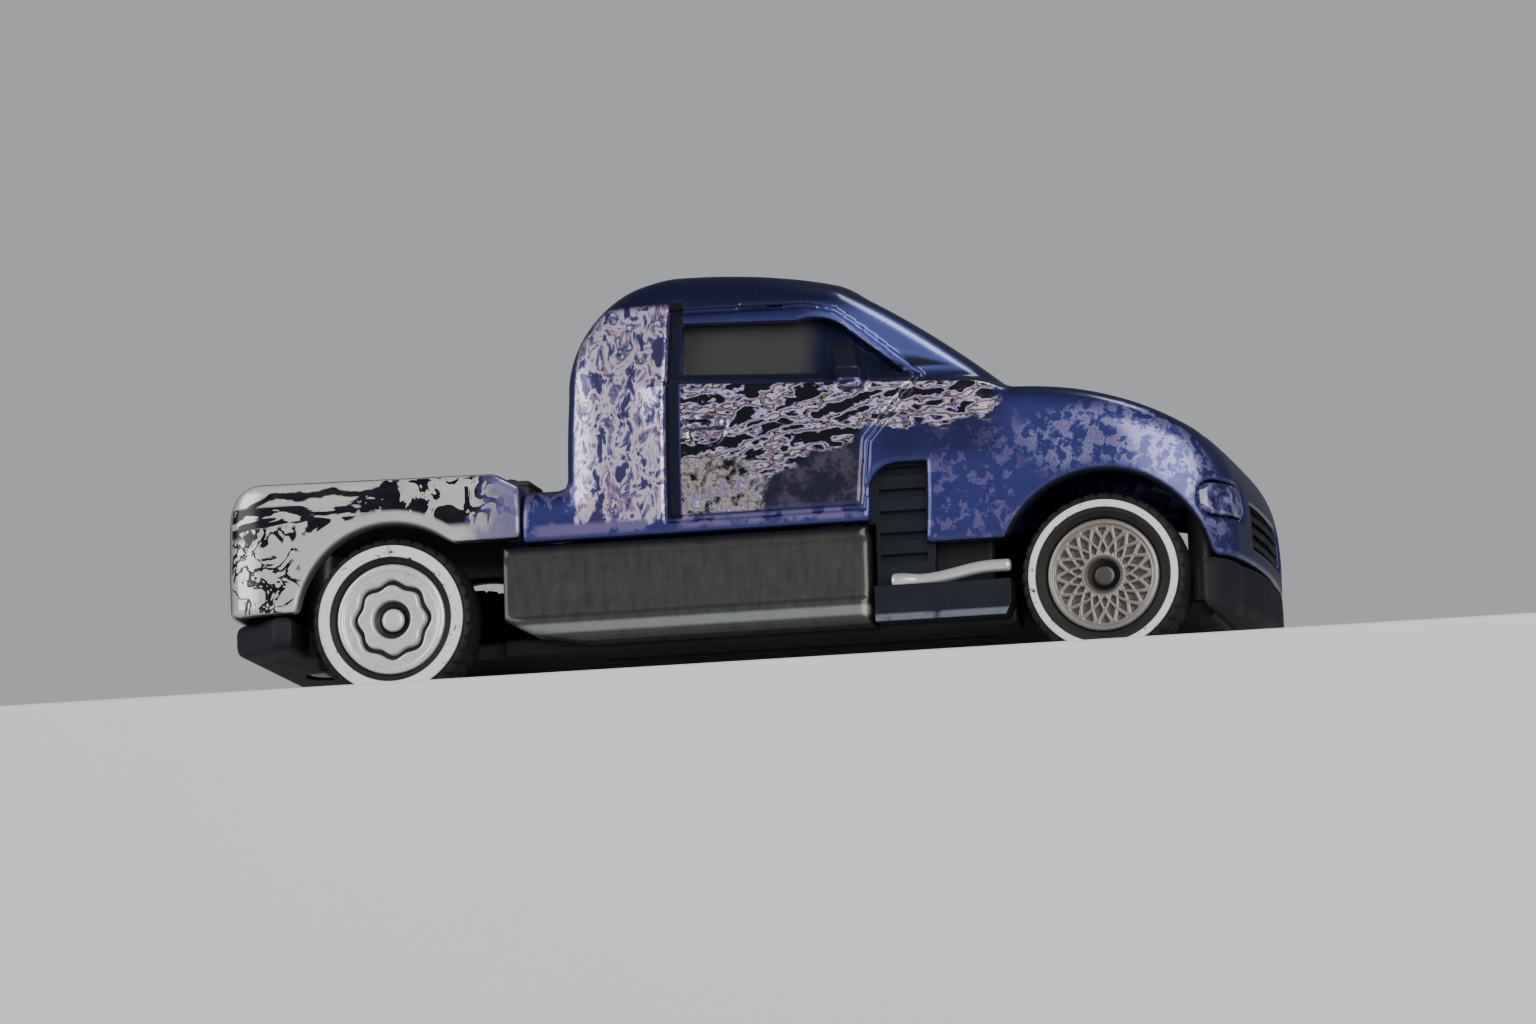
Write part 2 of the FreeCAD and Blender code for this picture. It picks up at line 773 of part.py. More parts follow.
def make_bed():
    """The bare metal rear bed: deck floor, side rails, rear wings and tail, hollow from below."""
    skin = bed_volume("bed_skin", "0")
    core = bed_volume("bed_core", "wall")
    arch = circle(new_sketch(skin, "XZ_Plane"), "rear_axle_x", "axle_z - 0.2", "bed_arch_radius")
    pocket(arch, symmetric=True)
    well = rectangle(
        new_sketch(skin, "XY_Plane", "bed_floor_z"),
        "well_rear_x", "-rail_inner_y", "-10", "rail_inner_y",
    )
    pocket(well)
    posts = make_posts(
        "bed", [("rear", "rear_post_x", "tail_block_top_z", "tail_block_low_z", "bed_floor_z - 0.3")]
    )
    openings = [insert_block(*opening, grow="gap") for opening in TAIL_INSERTS]
    shell = cut("bed_shell", skin, core)
    open_shell = cut("bed_open_shell", shell, join("bed_openings", openings))
    node("rear_bed", join("rear_bed", [open_shell] + posts))
    lights = [common(f"{opening[0]}_solid", [skin, insert_block(*opening)]) for opening in TAIL_INSERTS]
    node("tail_lights", join("tail_lights", lights))


# ---------------------------------------------------------------- chassis base


def make_base():
    """The moulded base: floor pan, tail block, front air dam, snap-in axle bearings and tub supports."""
    body = new_body("chassis_base")
    pan = []
    for sign, order in ((-1, 1), (1, -1)):
        half = [
            ("pan_rear_x", f"{sign} * pan_half_width"),
            ("-17.4", f"{sign} * pan_half_width"),
            ("-17.4", f"{sign} * mid_half_width"),
            ("skirt_front_x + 0.2", f"{sign} * mid_half_width"),
            ("skirt_front_x + 0.2", f"{sign} * (step_inner_y - 0.1)"),
            ("step_front_x", f"{sign} * (step_inner_y - 0.1)"),
            ("step_front_x", f"{sign} * pan_half_width"),
            ("pan_front_x", f"{sign} * pan_half_width"),
        ]
        pan += half[::order]
    pad(outline(new_sketch(body, "XY_Plane", "base_low_z"), pan), "base_top_z - base_low_z")

    tail = [
        ("tail_x + 0.6", "-11.4"),
        ("-34", "-14.9"),
        ("-32.6", "-14.9"),
        ("-32.6", "-pan_half_width"),
        ("pan_rear_x + 0.2", "-pan_half_width"),
        ("pan_rear_x + 0.2", "pan_half_width"),
        ("-32.6", "pan_half_width"),
        ("-32.6", "14.9"),
        ("-34", "14.9"),
        ("tail_x + 0.6", "11.4"),
    ]
    pad(
        outline(new_sketch(body, "XY_Plane", "tail_block_low_z"), tail),
        "tail_block_top_z - tail_block_low_z",
    )

    dam = [
        ("pan_front_x - 0.2", "-14", "36.6", "-12.3"),
        ("fascia_x - 0.1", "-9", "nose_x - 0.2", "0"),
        ("fascia_x - 0.1", "9", "36.6", "12.3"),
        ("pan_front_x - 0.2", "14"),
    ]
    pad(outline(new_sketch(body, "XY_Plane", "dam_low_z"), dam), "dam_top_z - dam_low_z")

    bearings = new_sketch(body, "XY_Plane", "base_top_z - 0.2")
    for end in ("front", "rear"):
        for low, high in (("-pan_half_width", "-bearing_inner_y"), ("bearing_inner_y", "pan_half_width")):
            rectangle(
                bearings,
                f"{end}_axle_x - bearing_half_length", low, f"{end}_axle_x + bearing_half_length", high,
            )
    pad(bearings, "bearing_top_z - base_top_z + 0.2")

    supports = new_sketch(body, "XY_Plane", "base_top_z - 0.2")
    for low, high in (("-mid_half_width", "-mid_half_width + 1"), ("mid_half_width - 1", "mid_half_width")):
        rectangle(supports, "-9", low, "9.6", high)
    pad(supports, "tub_floor_z - base_top_z + 0.2")
    step_walls = new_sketch(body, "XY_Plane", "base_top_z - 0.2")
    for low, high in (
        ("-(step_inner_y - 0.1)", "-(step_inner_y - 1.1)"),
        ("step_inner_y - 1.1", "step_inner_y - 0.1"),
    ):
        rectangle(step_walls, "cabin_front_x + 0.3", low, "19.6", high)
    pad(step_walls, "step_wall_top_z - base_top_z + 0.2")

    for end in ("front", "rear"):
        bore = "axle_radius + axle_play"
        pocket(circle(new_sketch(body, "XZ_Plane"), f"{end}_axle_x", "axle_z", bore), symmetric=True)
        mouth = rectangle(
            new_sketch(body, "XZ_Plane"),
            f"{end}_axle_x - axle_radius + 0.1", "axle_z",
            f"{end}_axle_x + axle_radius - 0.1", "bearing_top_z + 0.2",
        )
        pocket(mouth, symmetric=True)

    for across, low, high in (
        ("front_post_x", "base_low_z", "base_top_z"),
        ("middle_post_x", "base_low_z", "base_top_z"),
        ("rear_post_x", "tail_block_low_z", "tail_block_top_z"),
    ):
        hole = circle(new_sketch(body, "XY_Plane", f"{low} - 0.5"), across, "0", "neck_radius + 0.1")
        pocket(hole, f"{high} - {low} + 1")
        sink = circle(new_sketch(body, "XY_Plane", f"{low} - 0.5"), across, "0", "rivet_head_radius + 0.2")
        pocket(sink, "rivet_sink + 0.5")

    pegs = new_sketch(body, "XZ_Plane")
    for across, up in SKIRT_PEGS + STEP_PEGS:
        circle(pegs, across, up, "peg_radius + 0.05")
    pocket(pegs, symmetric=True)

    grooves = new_sketch(body, "XY_Plane", "base_low_z - 0.5")
    for low, high in (("-7.6", "-6.8"), ("-0.8", "0.8"), ("6.8", "7.6")):
        rectangle(grooves, "-10.5", low, "19", high)
    pocket(grooves, "0.85")
    return node("chassis_base", body)


SKIRT_PEGS = [("-6", "7"), ("6.6", "7")]
STEP_PEGS = [("16", "5.5")]

# ---------------------------------------------------------------- skirts, steps and pipes


def mirrored(name, source):
    """The left-hand copy of a right-hand piece."""
    made = doc.addObject("Part::Mirroring", name)
    made.Source = source
    made.Normal = Vector(0, 1, 0)
    doc.recompute()
    return node(name, made)


def make_skirts():
    """Hollow side tanks under the sill, each pegged into the base."""
    body = new_body("right_skirt")
    face = [
        ("skirt_rear_x", "5.4"),
        ("skirt_rear_x + 2.1", "4.2"),
        ("skirt_rear_x + 6", "skirt_low_z"),
        ("skirt_front_x", "skirt_low_z"),
        ("skirt_front_x", "skirt_top_z"),
        ("skirt_rear_x", "skirt_top_z"),
    ]
    pad(outline(new_sketch(body, "XZ_Plane", "skirt_inner_y"), face), "skirt_outer_y - skirt_inner_y")
    lower_edges = fillet(
        body, "0.7", lambda e: within(e, (-17, -15.2, 3.5), (10.9, -15, 5.5)) and e.BoundBox.XLength > 1
    )
    assert lower_edges.State == ["Up-to-date"], lower_edges.State
    hollow = [
        ("skirt_rear_x + 1", "6"),
        ("skirt_rear_x + 6", "skirt_low_z + 1"),
        ("skirt_front_x - 1", "skirt_low_z + 1"),
        ("skirt_front_x - 1", "skirt_top_z - 1"),
        ("skirt_rear_x + 1", "skirt_top_z - 1"),
    ]
    pocket(outline(new_sketch(body, "XZ_Plane", "skirt_inner_y - 1"), hollow), "3.4")
    ribs = new_sketch(body, "XZ_Plane", "skirt_outer_y - 0.15")
    for up in ("5.4", "6.9"):
        rectangle(ribs, "skirt_rear_x + 2.4", up, "skirt_front_x - 1", f"{up} + 0.22")
    pocket(ribs, "1")
    pegs = new_sketch(body, "XZ_Plane", "mid_half_width - 1.4")
    for across, up in SKIRT_PEGS:
        circle(pegs, across, up, "peg_radius")
    pad(pegs, "skirt_outer_y - mid_half_width + 0.8")
    node("right_skirt", body)
    mirrored("left_skirt", body)


def make_steps():
    """Step boxes ahead of the skirts; a blade on each fills the vent behind the front wing."""
    body = new_body("right_step")
    box = [
        ("step_rear_x", "skirt_low_z"),
        ("step_front_x - 0.4", "skirt_low_z"),
        ("step_front_x", "skirt_low_z + 0.8"),
        ("step_front_x", "step_top_z"),
        ("step_rear_x", "step_top_z"),
    ]
    pad(outline(new_sketch(body, "XZ_Plane", "step_inner_y"), box), "skirt_outer_y - 0.1 - step_inner_y")
    blade = [
        ("step_rear_x", "step_top_z - 0.5"),
        ("15.4", "step_top_z - 0.5"),
        ("16", "vent_top_z + 0.6"),
        ("step_rear_x - 0.6", "vent_top_z + 0.6"),
        ("step_rear_x - 0.6", "skirt_top_z + 0.1"),
        ("step_rear_x", "skirt_top_z + 0.1"),
    ]
    pad(outline(new_sketch(body, "XZ_Plane", "step_inner_y"), blade), "1")
    louvres = new_sketch(body, "XZ_Plane", "step_inner_y + 0.6")
    for up in (8, 9.6, 11.2, 12.8, 14.4):
        rectangle(louvres, "step_rear_x + 0.3", f"{up}", "15", f"{up} + 0.6")
    pocket(louvres, "1")
    pegs = new_sketch(body, "XZ_Plane", "step_inner_y - 1.3")
    for across, up in STEP_PEGS:
        circle(pegs, across, up, "peg_radius")
    pad(pegs, "1.4")
    node("right_step", body)
    mirrored("left_step", body)


def make_pipes():
    """Bright exhaust pipes that lie along the top of each step."""
    body = new_body("right_pipe")
    path = new_sketch(body, "XZ_Plane", "14.4")
    rise = "step_top_z + pipe_radius + 0.02"
    bend = [
        Part.Arc(
            Vector(12.4, amount(f"{rise} + 0.5"), 0),
            Vector(14.2, amount(rise), 0),
            Vector(16.2, amount(f"{rise} + 0.1"), 0),
        ),
        Part.Arc(
            Vector(16.2, amount(f"{rise} + 0.1"), 0),
            Vector(18.6, amount(f"{rise} + 0.55"), 0),
            Vector(21, amount(f"{rise} + 0.75"), 0),
        ),
    ]
    for arc in bend:
        path.addGeometry(arc)
    doc.recompute()
    section = circle(new_sketch(body, "YZ_Plane", "12.4"), "-14.4", f"{rise} + 0.5", "pipe_radius")
    doc.recompute()
    pipe = body.newObject("PartDesign::AdditivePipe", "right_pipe_sweep")
    pipe.Profile = section
    pipe.Spine = (path, ["Edge1", "Edge2"])
    doc.recompute()
    node("right_pipe", body)
    mirrored("left_pipe", body)


# ---------------------------------------------------------------- glass and cabin


def make_glass():
    """One clear moulding that fills the screen, the side windows and the rear window from inside."""
    outer = cab_volume("glass_outer", "(wall + gap)")
    inner = cab_volume("glass_inner", "(wall + gap + glass)")
    shell = cut("glass_shell", outer, inner)
    keep = block("glass_keep", ("cab_back_x", "-20", "glass_low_z"), ("cowl_x - 1.4", "20", "roof_z"))
    node("glazing", common("glazing", [shell, keep]))


def make_cabin():
    """The cabin tub: floor, rear bulkhead, dashboard and two seats in one moulding."""
    body = new_body("cabin_tub")
    floor = rectangle(
        new_sketch(body, "XY_Plane", "tub_floor_z"),
        "cabin_rear_x", "-cabin_half_width", "cabin_front_x", "cabin_half_width",
    )
    pad(floor, "0.9")
    bulkhead = rectangle(
        new_sketch(body, "XY_Plane", "tub_floor_z + 0.5"),
        "cabin_rear_x", "-cabin_half_width", "cabin_rear_x + 0.9", "cabin_half_width",
    )
    pad(bulkhead, "10")
    dashboard = [
        ("10.6", "tub_floor_z + 0.5"),
        ("11.4", "15.6", "10.4", "16.6"),
        ("10.4", "18.2", "11", "19.2"),
        ("12.4", "19.4"),
        ("cabin_front_x", "18.8"),
        ("cabin_front_x", "tub_floor_z + 0.5"),
    ]
    pad(outline(new_sketch(body, "XZ_Plane"), dashboard), "2 * cabin_half_width", symmetric=True)
    for sign in (-1, 1):
        low, high = f"{sign} * seat_y - 3.6", f"{sign} * seat_y + 3.6"
        cushion = rectangle(
            new_sketch(body, "XY_Plane", "tub_floor_z + 0.5"), "-5.6", low, "3.4", high
        )
        pad(cushion, "4.4")
        backrest = [
            ("-8.6", "tub_floor_z + 0.5"),
            ("-8.9", "21.4", "-8.4", "22.6"),
            ("-7.4", "22.6", "-6.4", "22.4"),
            ("-6.3", "20.6"),
            ("-4.6", "13.4"),
            ("-4.6", "tub_floor_z + 0.5"),
        ]
        sketch = outline(new_sketch(body, "XZ_Plane", f"{-sign} * seat_y - 3.3"), backrest)
        pad(sketch, "6.6")
    node("cabin_tub", body)


def make_steering_wheel():
    """Ring, spoke and column, pressed against the dashboard on the driver's side."""
    hub = Vector(7.9, amount("seat_y"), 17.6)
    ring = doc.addObject("Part::Torus", "steering_ring")
    ring.setExpression("Radius1", cells("wheel_ring_radius"))
    ring.setExpression("Radius2", cells("wheel_ring_thickness"))
    ring.Placement = Placement(hub, Rotation(Vector(0, 1, 0), -68))
    column = doc.addObject("Part::Cylinder", "steering_column")
    column.setExpression("Radius", cells("1.25 * wheel_ring_thickness"))
    column.setExpression("Height", cells("wheel_column_length"))
    column.Placement = Placement(hub, Rotation(Vector(0, 1, 0), 112))
    spoke = cylinder(
        "steering_spoke", "0.9 * wheel_ring_thickness", "2 * wheel_ring_radius",
        (str(hub.x), "seat_y - wheel_ring_radius", str(hub.z)), "Y",
    )
    node("steering_wheel", join("steering_wheel", [ring, column, spoke]))


# ---------------------------------------------------------------- tow gear


def make_deck():
    """The tread plate laid in the bed, with two cheeks that carry the boom."""
    body = new_body("tow_deck")
    plate = rectangle(
        new_sketch(body, "XY_Plane", "bed_floor_z"),
        "well_rear_x + 0.1", "-rail_inner_y + 0.1", "bed_front_x - 0.1", "rail_inner_y - 0.1",
    )
    pad(plate, "deck_thickness")
    top = "bed_floor_z + deck_thickness - 0.2"
    for low in ("-cheek_inner_y - cheek_thickness", "cheek_inner_y"):
        cheek = [
            ("pivot_x - 2.2", top),
            ("pivot_x - 1.2", "pivot_z - 0.2", "pivot_x", "pivot_z + 1.1"),
            ("pivot_x + 1.2", "pivot_z - 0.2"),
            ("pivot_x + 2.2", top),
        ]
        sketch = outline(new_sketch(body, "XZ_Plane", f"-({low} + cheek_thickness)"), cheek)
        pad(sketch, "cheek_thickness")
    for low, high in (("-10.4", "-6"), ("6", "10.4")):
        locker = rectangle(new_sketch(body, "XY_Plane", top), "-20.6", low, "bed_front_x - 0.3", high)
        pad(locker, "1.7")
    bore = circle(new_sketch(body, "XZ_Plane"), "pivot_x", "pivot_z", "pin_radius")
    pocket(bore, symmetric=True)
    node("tow_deck", body)


def make_boom():
    """An A-shaped boom: two arms from the pivot eyes meet in a forked tip."""
    body = new_body("tow_boom")
    half, tip = "boom_root_half_width", "boom_tip_half_width"
    plan = [
        ("pivot_x", f"-({half})"),
        ("pivot_x", half),
        ("-20.6", half),
        ("-27", tip),
        ("boom_tip_x", tip),
        ("boom_tip_x", f"-{tip}"),
        ("-27", f"-{tip}"),
        ("-20.6", f"-({half})"),
    ]
    pad(outline(new_sketch(body, "XY_Plane", "pivot_z - boom_half_height"), plan), "2 * boom_half_height")
    eye = circle(new_sketch(body, "XZ_Plane"), "pivot_x", "pivot_z", "boom_half_height + 0.25")
    pad(eye, f"2 * {half}", symmetric=True)
    lightening = [
        ("pivot_x - 2.2", "-2.3"),
        ("pivot_x - 2.2", "2.3"),
        ("-20.6", "2.3"),
        ("-26", "0.5"),
        ("-26", "-0.5"),
        ("-20.6", "-2.3"),
    ]
    pocket(outline(new_sketch(body, "XY_Plane", "pivot_z - 2"), lightening), "4")
    fork = rectangle(new_sketch(body, "XY_Plane", "pivot_z - 2"), "-40", "-0.6", "hook_pin_x + 2.2", "0.6")
    pocket(fork, "4")
    for across, radius in (("pivot_x", "pin_radius + pin_play"), ("hook_pin_x", "hook_pin_radius")):
        pocket(circle(new_sketch(body, "XZ_Plane"), across, "pivot_z", radius), symmetric=True)
    rounded_tip = fillet(
        body,
        "boom_half_height - 0.1",
        lambda e: within(e, (-31.1, -1.5, 15), (-30.9, 1.5, 18)) and e.BoundBox.YLength > 0.3,
    )
    assert rounded_tip.State == ["Up-to-date"], rounded_tip.State
    node("tow_boom", body)


def make_hook():
    """A flat tow hook that swings in the boom's fork. It lies back along the deck when the boom is down."""
    body = new_body("tow_hook")
    eye_x, bowl_x = "hook_pin_x", "hook_pin_x - hook_reach"
    shank = [
        (eye_x, "pivot_z - 0.42"),
        (eye_x, "pivot_z + 0.42"),
        (f"{bowl_x} + 1", "pivot_z + 0.42"),
        (f"{bowl_x} + 1", "pivot_z - 0.42"),
    ]
    thickness = "2 * hook_half_thickness"
    pad(outline(new_sketch(body, "XZ_Plane"), shank), thickness, symmetric=True)
    eye = circle(new_sketch(body, "XZ_Plane"), eye_x, "pivot_z", "0.85")
    pad(eye, thickness, symmetric=True)
    bowl = circle(new_sketch(body, "XZ_Plane"), bowl_x, "pivot_z - 0.1", "hook_bowl_radius")
    pad(bowl, thickness, symmetric=True)
    throat = circle(new_sketch(body, "XZ_Plane"), f"{bowl_x} + 0.1", "pivot_z - 0.1", "hook_throat_radius")
    pocket(throat, symmetric=True)
    mouth = [
        (bowl_x, "pivot_z + 0.2"),
        (f"{bowl_x} + 0.8", "pivot_z + 0.5"),
        (f"{bowl_x} + 0.8", "pivot_z + 2"),
        (f"{bowl_x} - 0.7", "pivot_z + 2"),
        (f"{bowl_x} - 0.5", "pivot_z + 0.5"),
    ]
    pocket(outline(new_sketch(body, "XZ_Plane"), mouth), symmetric=True)
    bore = circle(new_sketch(body, "XZ_Plane"), eye_x, "pivot_z", "hook_pin_radius + pin_play")
    pocket(bore, symmetric=True)
    node("tow_hook", body)


def make_pins():
    """The boom's pivot pin through both cheeks, and the hook's pin through the fork."""
    reach = "cheek_inner_y + cheek_thickness"
    shaft = cylinder(
        "boom_pin_shaft", "pin_radius", f"2 * ({reach})", ("pivot_x", f"-({reach})", "pivot_z"), "Y"
    )
    heads = [
        cylinder(f"boom_pin_head_{k}", "0.85", "0.35", ("pivot_x", start, "pivot_z"), "Y")
        for k, start in enumerate((f"-({reach}) - 0.35", reach))
    ]
    node("boom_pin", join("boom_pin", [shaft] + heads))
    reach = "boom_tip_half_width + 0.2"
    hook_pin = cylinder(
        "hook_pin", "hook_pin_radius", f"2 * ({reach})", ("hook_pin_x", f"-({reach})", "pivot_z"), "Y"
    )
    node("hook_pin", hook_pin)


# ---------------------------------------------------------------- build, check and write

for end in ("front", "rear"):
    make_axle(end)
    for side in SIDES:
        make_tyre(end, side)
for side in SIDES:
    make_front_rim(side)
    make_rear_rim(side)
cab_skin, cab_casting = make_cab()
make_nose_inserts(cab_skin)
make_bed()
make_base()
make_skirts()
make_steps()
make_pipes()
make_glass()
make_cabin()
make_steering_wheel()
make_deck()
make_boom()
make_hook()
make_pins()
doc.recompute()

for made in doc.Objects:
    if {"Invalid", "Error"} & set(made.State):
        raise RuntimeError(f"{made.Name} did not build: {made.State}")
for name, made in nodes.items():
    if made.Shape.isNull() or not made.Shape.isValid() or not made.Shape.Solids:
        raise RuntimeError(f"{name} is not a valid solid")

os.makedirs("parts", exist_ok=True)
for name, made in nodes.items():
    made.Shape.exportStep(f"parts/{name}.step")
    print(f"{name:18s} {len(made.Shape.Solids)} solids {made.Shape.Volume:9.2f} mm3")
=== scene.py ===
"""The looks of a three-inch die-cast toy tow truck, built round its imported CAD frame.

Most visible pieces are fields: functions of position, in millimetres, that are negative inside the
piece and positive outside. Smooth maximums round and cut them, which gives the soft edges of a
casting, and mesh_field() turns each one into a mesh. Wheels are turned profiles with relief.
Everything is in the frame of the CAD model: X to the nose, Y to the driver's left, Z up.
"""

import functools
import math

import bpy
import numpy as np
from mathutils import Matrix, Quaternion, Vector


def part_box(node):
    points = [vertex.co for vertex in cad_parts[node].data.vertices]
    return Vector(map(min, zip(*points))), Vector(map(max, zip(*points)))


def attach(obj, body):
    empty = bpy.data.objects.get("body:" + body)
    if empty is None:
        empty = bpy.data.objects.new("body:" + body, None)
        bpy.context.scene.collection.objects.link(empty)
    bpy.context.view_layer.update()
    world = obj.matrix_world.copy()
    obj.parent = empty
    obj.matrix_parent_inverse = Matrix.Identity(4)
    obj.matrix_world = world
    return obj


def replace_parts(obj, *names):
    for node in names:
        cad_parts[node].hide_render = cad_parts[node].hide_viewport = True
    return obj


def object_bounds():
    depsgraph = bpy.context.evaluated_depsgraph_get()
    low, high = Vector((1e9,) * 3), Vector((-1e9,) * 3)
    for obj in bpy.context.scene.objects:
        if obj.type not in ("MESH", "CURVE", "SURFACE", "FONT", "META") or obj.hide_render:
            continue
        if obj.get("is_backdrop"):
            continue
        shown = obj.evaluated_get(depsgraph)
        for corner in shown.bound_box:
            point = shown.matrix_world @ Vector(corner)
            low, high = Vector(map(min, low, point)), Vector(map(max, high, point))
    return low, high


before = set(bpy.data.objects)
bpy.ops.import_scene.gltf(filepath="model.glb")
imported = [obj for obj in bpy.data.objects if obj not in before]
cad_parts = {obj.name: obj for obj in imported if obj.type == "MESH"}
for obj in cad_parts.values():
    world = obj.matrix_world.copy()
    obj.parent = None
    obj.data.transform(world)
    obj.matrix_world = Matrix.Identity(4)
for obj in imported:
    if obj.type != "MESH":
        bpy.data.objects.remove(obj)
cad_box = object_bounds()

MM = 0.001
FINE = 1.0

# ---------------------------------------------------------------- sizes read from the frame


def box_mm(node):
    """Lowest and highest corner of a CAD node, in millimetres."""
    low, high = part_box(node)
    return np.array(low) / MM, np.array(high) / MM


def centre_mm(node):
    low, high = box_mm(node)
    return (low + high) / 2


CAB_LOW, CAB_HIGH = box_mm("cab_casting")
BED_LOW, BED_HIGH = box_mm("rear_bed")
HALF_WIDTH = CAB_HIGH[1]
NOSE_X = CAB_HIGH[0]
TAIL_X = BED_LOW[0]
ROOF_Z = CAB_HIGH[2]
RAIL_Z = BED_HIGH[2]
SEAM_X = CAB_LOW[0]
FRONT_AXLE = centre_mm("front_axle")
REAR_AXLE = centre_mm("rear_axle")
TYRE_LOW, TYRE_HIGH = box_mm("front_left_tyre")
TYRE_RADIUS = (TYRE_HIGH[2] - TYRE_LOW[2]) / 2
TYRE_WIDTH = TYRE_HIGH[1] - TYRE_LOW[1]
TYRE_FACE_Y = TYRE_HIGH[1]
RIM_RADIUS = (box_mm("front_left_rim")[1][2] - box_mm("front_left_rim")[0][2]) / 2
DECK_LOW, DECK_HIGH = box_mm("tow_deck")
BOOM_PIVOT = centre_mm("boom_pin")
HOOK_PIN = centre_mm("hook_pin")

BASE_LOW = box_mm("chassis_base")[0]
SIDES = (("right", -1), ("left", 1))

# Wall of the castings, thickness of the windows, and the wheel arches' radii.
WALL = 1.3
GLASS = 0.8
ARCH_RADIUS = 7.6
BED_ARCH_RADIUS = 7.2

# The base is a thin floor pan with a thicker tail block. Each rivet post has its place along the
# truck, the underside and top of the base there, and its own top.
PAN_TOP = 4.5
TAIL_BLOCK_LOW, TAIL_BLOCK_TOP = 4.3, 6.8
POSTS = {
    "front": (33.2, BASE_LOW[2], PAN_TOP, 15.5),
    "middle": (-13.4, BASE_LOW[2], PAN_TOP, 14.4),
    "rear": (-34.0, TAIL_BLOCK_LOW, TAIL_BLOCK_TOP, 13.8),
}

# ---------------------------------------------------------------- fields


def smooth_max(a, b, width):
    """The larger of two fields, with the corner between them rounded over about width."""
    near = np.maximum(width - np.abs(a - b), 0) / width
    return np.maximum(a, b) + near * near * width / 4


def smooth_min(a, b, width):
    """The smaller of two fields, with the corner between them filled in."""
    return -smooth_max(-a, -b, width)


def overlap(*fields):
    """The space that all the fields share, with sharp edges."""
    return functools.reduce(np.maximum, fields)


def union(*fields):
    """The space of all the fields together, with sharp corners."""
    return functools.reduce(np.minimum, fields)


def cut(shape, tool, rounding):
    """A shape with a tool's space taken out of it, and the new edges rounded."""
    return smooth_max(shape, -tool, rounding)


def between(value, low, high):
    """Negative from low to high."""
    return np.maximum(low - value, value - high)


def rise(value, start, width):
    """0 up to start, 1 from start + width on, smooth between."""
    part = np.clip((value - start) / width, 0, 1)
    return part * part * (3 - 2 * part)


def box_field(x, y, z, low, high, rounding=0.0):
    """Distance to a box with rounded edges."""
    reach = [
        np.abs(value - (a + b) / 2) - (b - a) / 2 + rounding
        for value, a, b in zip((x, y, z), low, high)
    ]
    outside = np.sqrt(sum(np.maximum(side, 0) ** 2 for side in reach))
    inside = np.minimum(np.maximum(np.maximum(reach[0], reach[1]), reach[2]), 0)
    return outside + inside - rounding


def segment_distance(u, v, start, end):
    """Distance to a straight line between two points."""
    along = np.subtract(end, start)
    du, dv = u - start[0], v - start[1]
    part = np.clip((du * along[0] + dv * along[1]) / (along @ along), 0, 1)
    return np.hypot(du - part * along[0], dv - part * along[1])


def line_distance(u, v, points):
    """Distance to an open line through the points."""
    return np.minimum.reduce([segment_distance(u, v, a, b) for a, b in zip(points, points[1:])])


def circle_through(start, via, end):
    """Centre and radius of the circle through three points."""
    rows = 2 * np.array([np.subtract(via, start), np.subtract(end, start)])
    squares = [np.dot(via, via) - np.dot(start, start), np.dot(end, end) - np.dot(start, start)]
    centre = np.linalg.solve(rows, squares)
    return centre, np.hypot(*(start - centre))


def outline_field(u, v, corners):
    """Distance to a closed outline. A corner is (u, v), or (u, v, via_u, via_v) where the edge that
    starts there is an arc through the via point."""
    best = np.inf
    inside = False
    for here, there in zip(corners, corners[1:] + corners[:1]):
        start, end = np.array(here[:2], float), np.array(there[:2], float)
        if start[1] != end[1]:
            slope = (end[0] - start[0]) / (end[1] - start[1])
            crossed = ((start[1] > v) != (end[1] > v)) & (u < start[0] + slope * (v - start[1]))
            inside = inside ^ crossed
        if len(here) == 2:
            best = np.minimum(best, segment_distance(u, v, start, end))
            continue
        via = np.array(here[2:], float)
        centre, radius = circle_through(start, via, end)
        du, dv = u - centre[0], v - centre[1]
        reach = np.hypot(du, dv)
        chord = end - start
        turn = np.sign(chord[0] * (via - start)[1] - chord[1] * (via - start)[0])
        beyond_chord = turn * (chord[0] * (v - start[1]) - chord[1] * (u - start[0])) > 0
        inside = inside ^ (beyond_chord & (reach < radius))
        middle = (start + end) / 2 - centre
        middle = middle / np.hypot(*middle)
        if middle @ (via - centre) < 0:
            middle = -middle
        in_sector = du * middle[0] + dv * middle[1] >= middle @ (start - centre) / radius * reach
        best = np.minimum(best, np.where(in_sector, np.abs(reach - radius), np.inf))
        best = np.minimum(best, np.hypot(u - start[0], v - start[1]))
        best = np.minimum(best, np.hypot(u - end[0], v - end[1]))
    return np.where(inside, -best, best)


def softened(corners, u, v, reach):
    """An outline's field averaged over a small square, which rounds its creases."""
    steps = [(-reach, -reach), (-reach, reach), (reach, -reach), (reach, reach)]
    return sum(outline_field(u + du, v + dv, corners) for du, dv in steps) / len(steps)


def crowned(corners, x, y, z, reach, fall):
    """A side outline whose upper surfaces fall away towards both sides, by fall times y squared."""
    side = softened(corners, x, z, reach)
    step = 0.2
    upward = np.clip((softened(corners, x, z + step, reach) - side) / step, 0, 1)
    return side + fall * y**2 * upward


# ---------------------------------------------------------------- meshes


def add_object(name, points, faces, body, material, slot):
    """A smooth-shaded mesh object from points in millimetres, riding on a body."""
    mesh = bpy.data.meshes.new(name)
    mesh.from_pydata((np.asarray(points) * MM).tolist(), [], faces)
    mesh.validate()
    mesh.shade_smooth()
    piece = bpy.data.objects.new(name, mesh)
    bpy.context.scene.collection.objects.link(piece)
    piece.data.materials.append(material)
    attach(piece, body)
    return piece


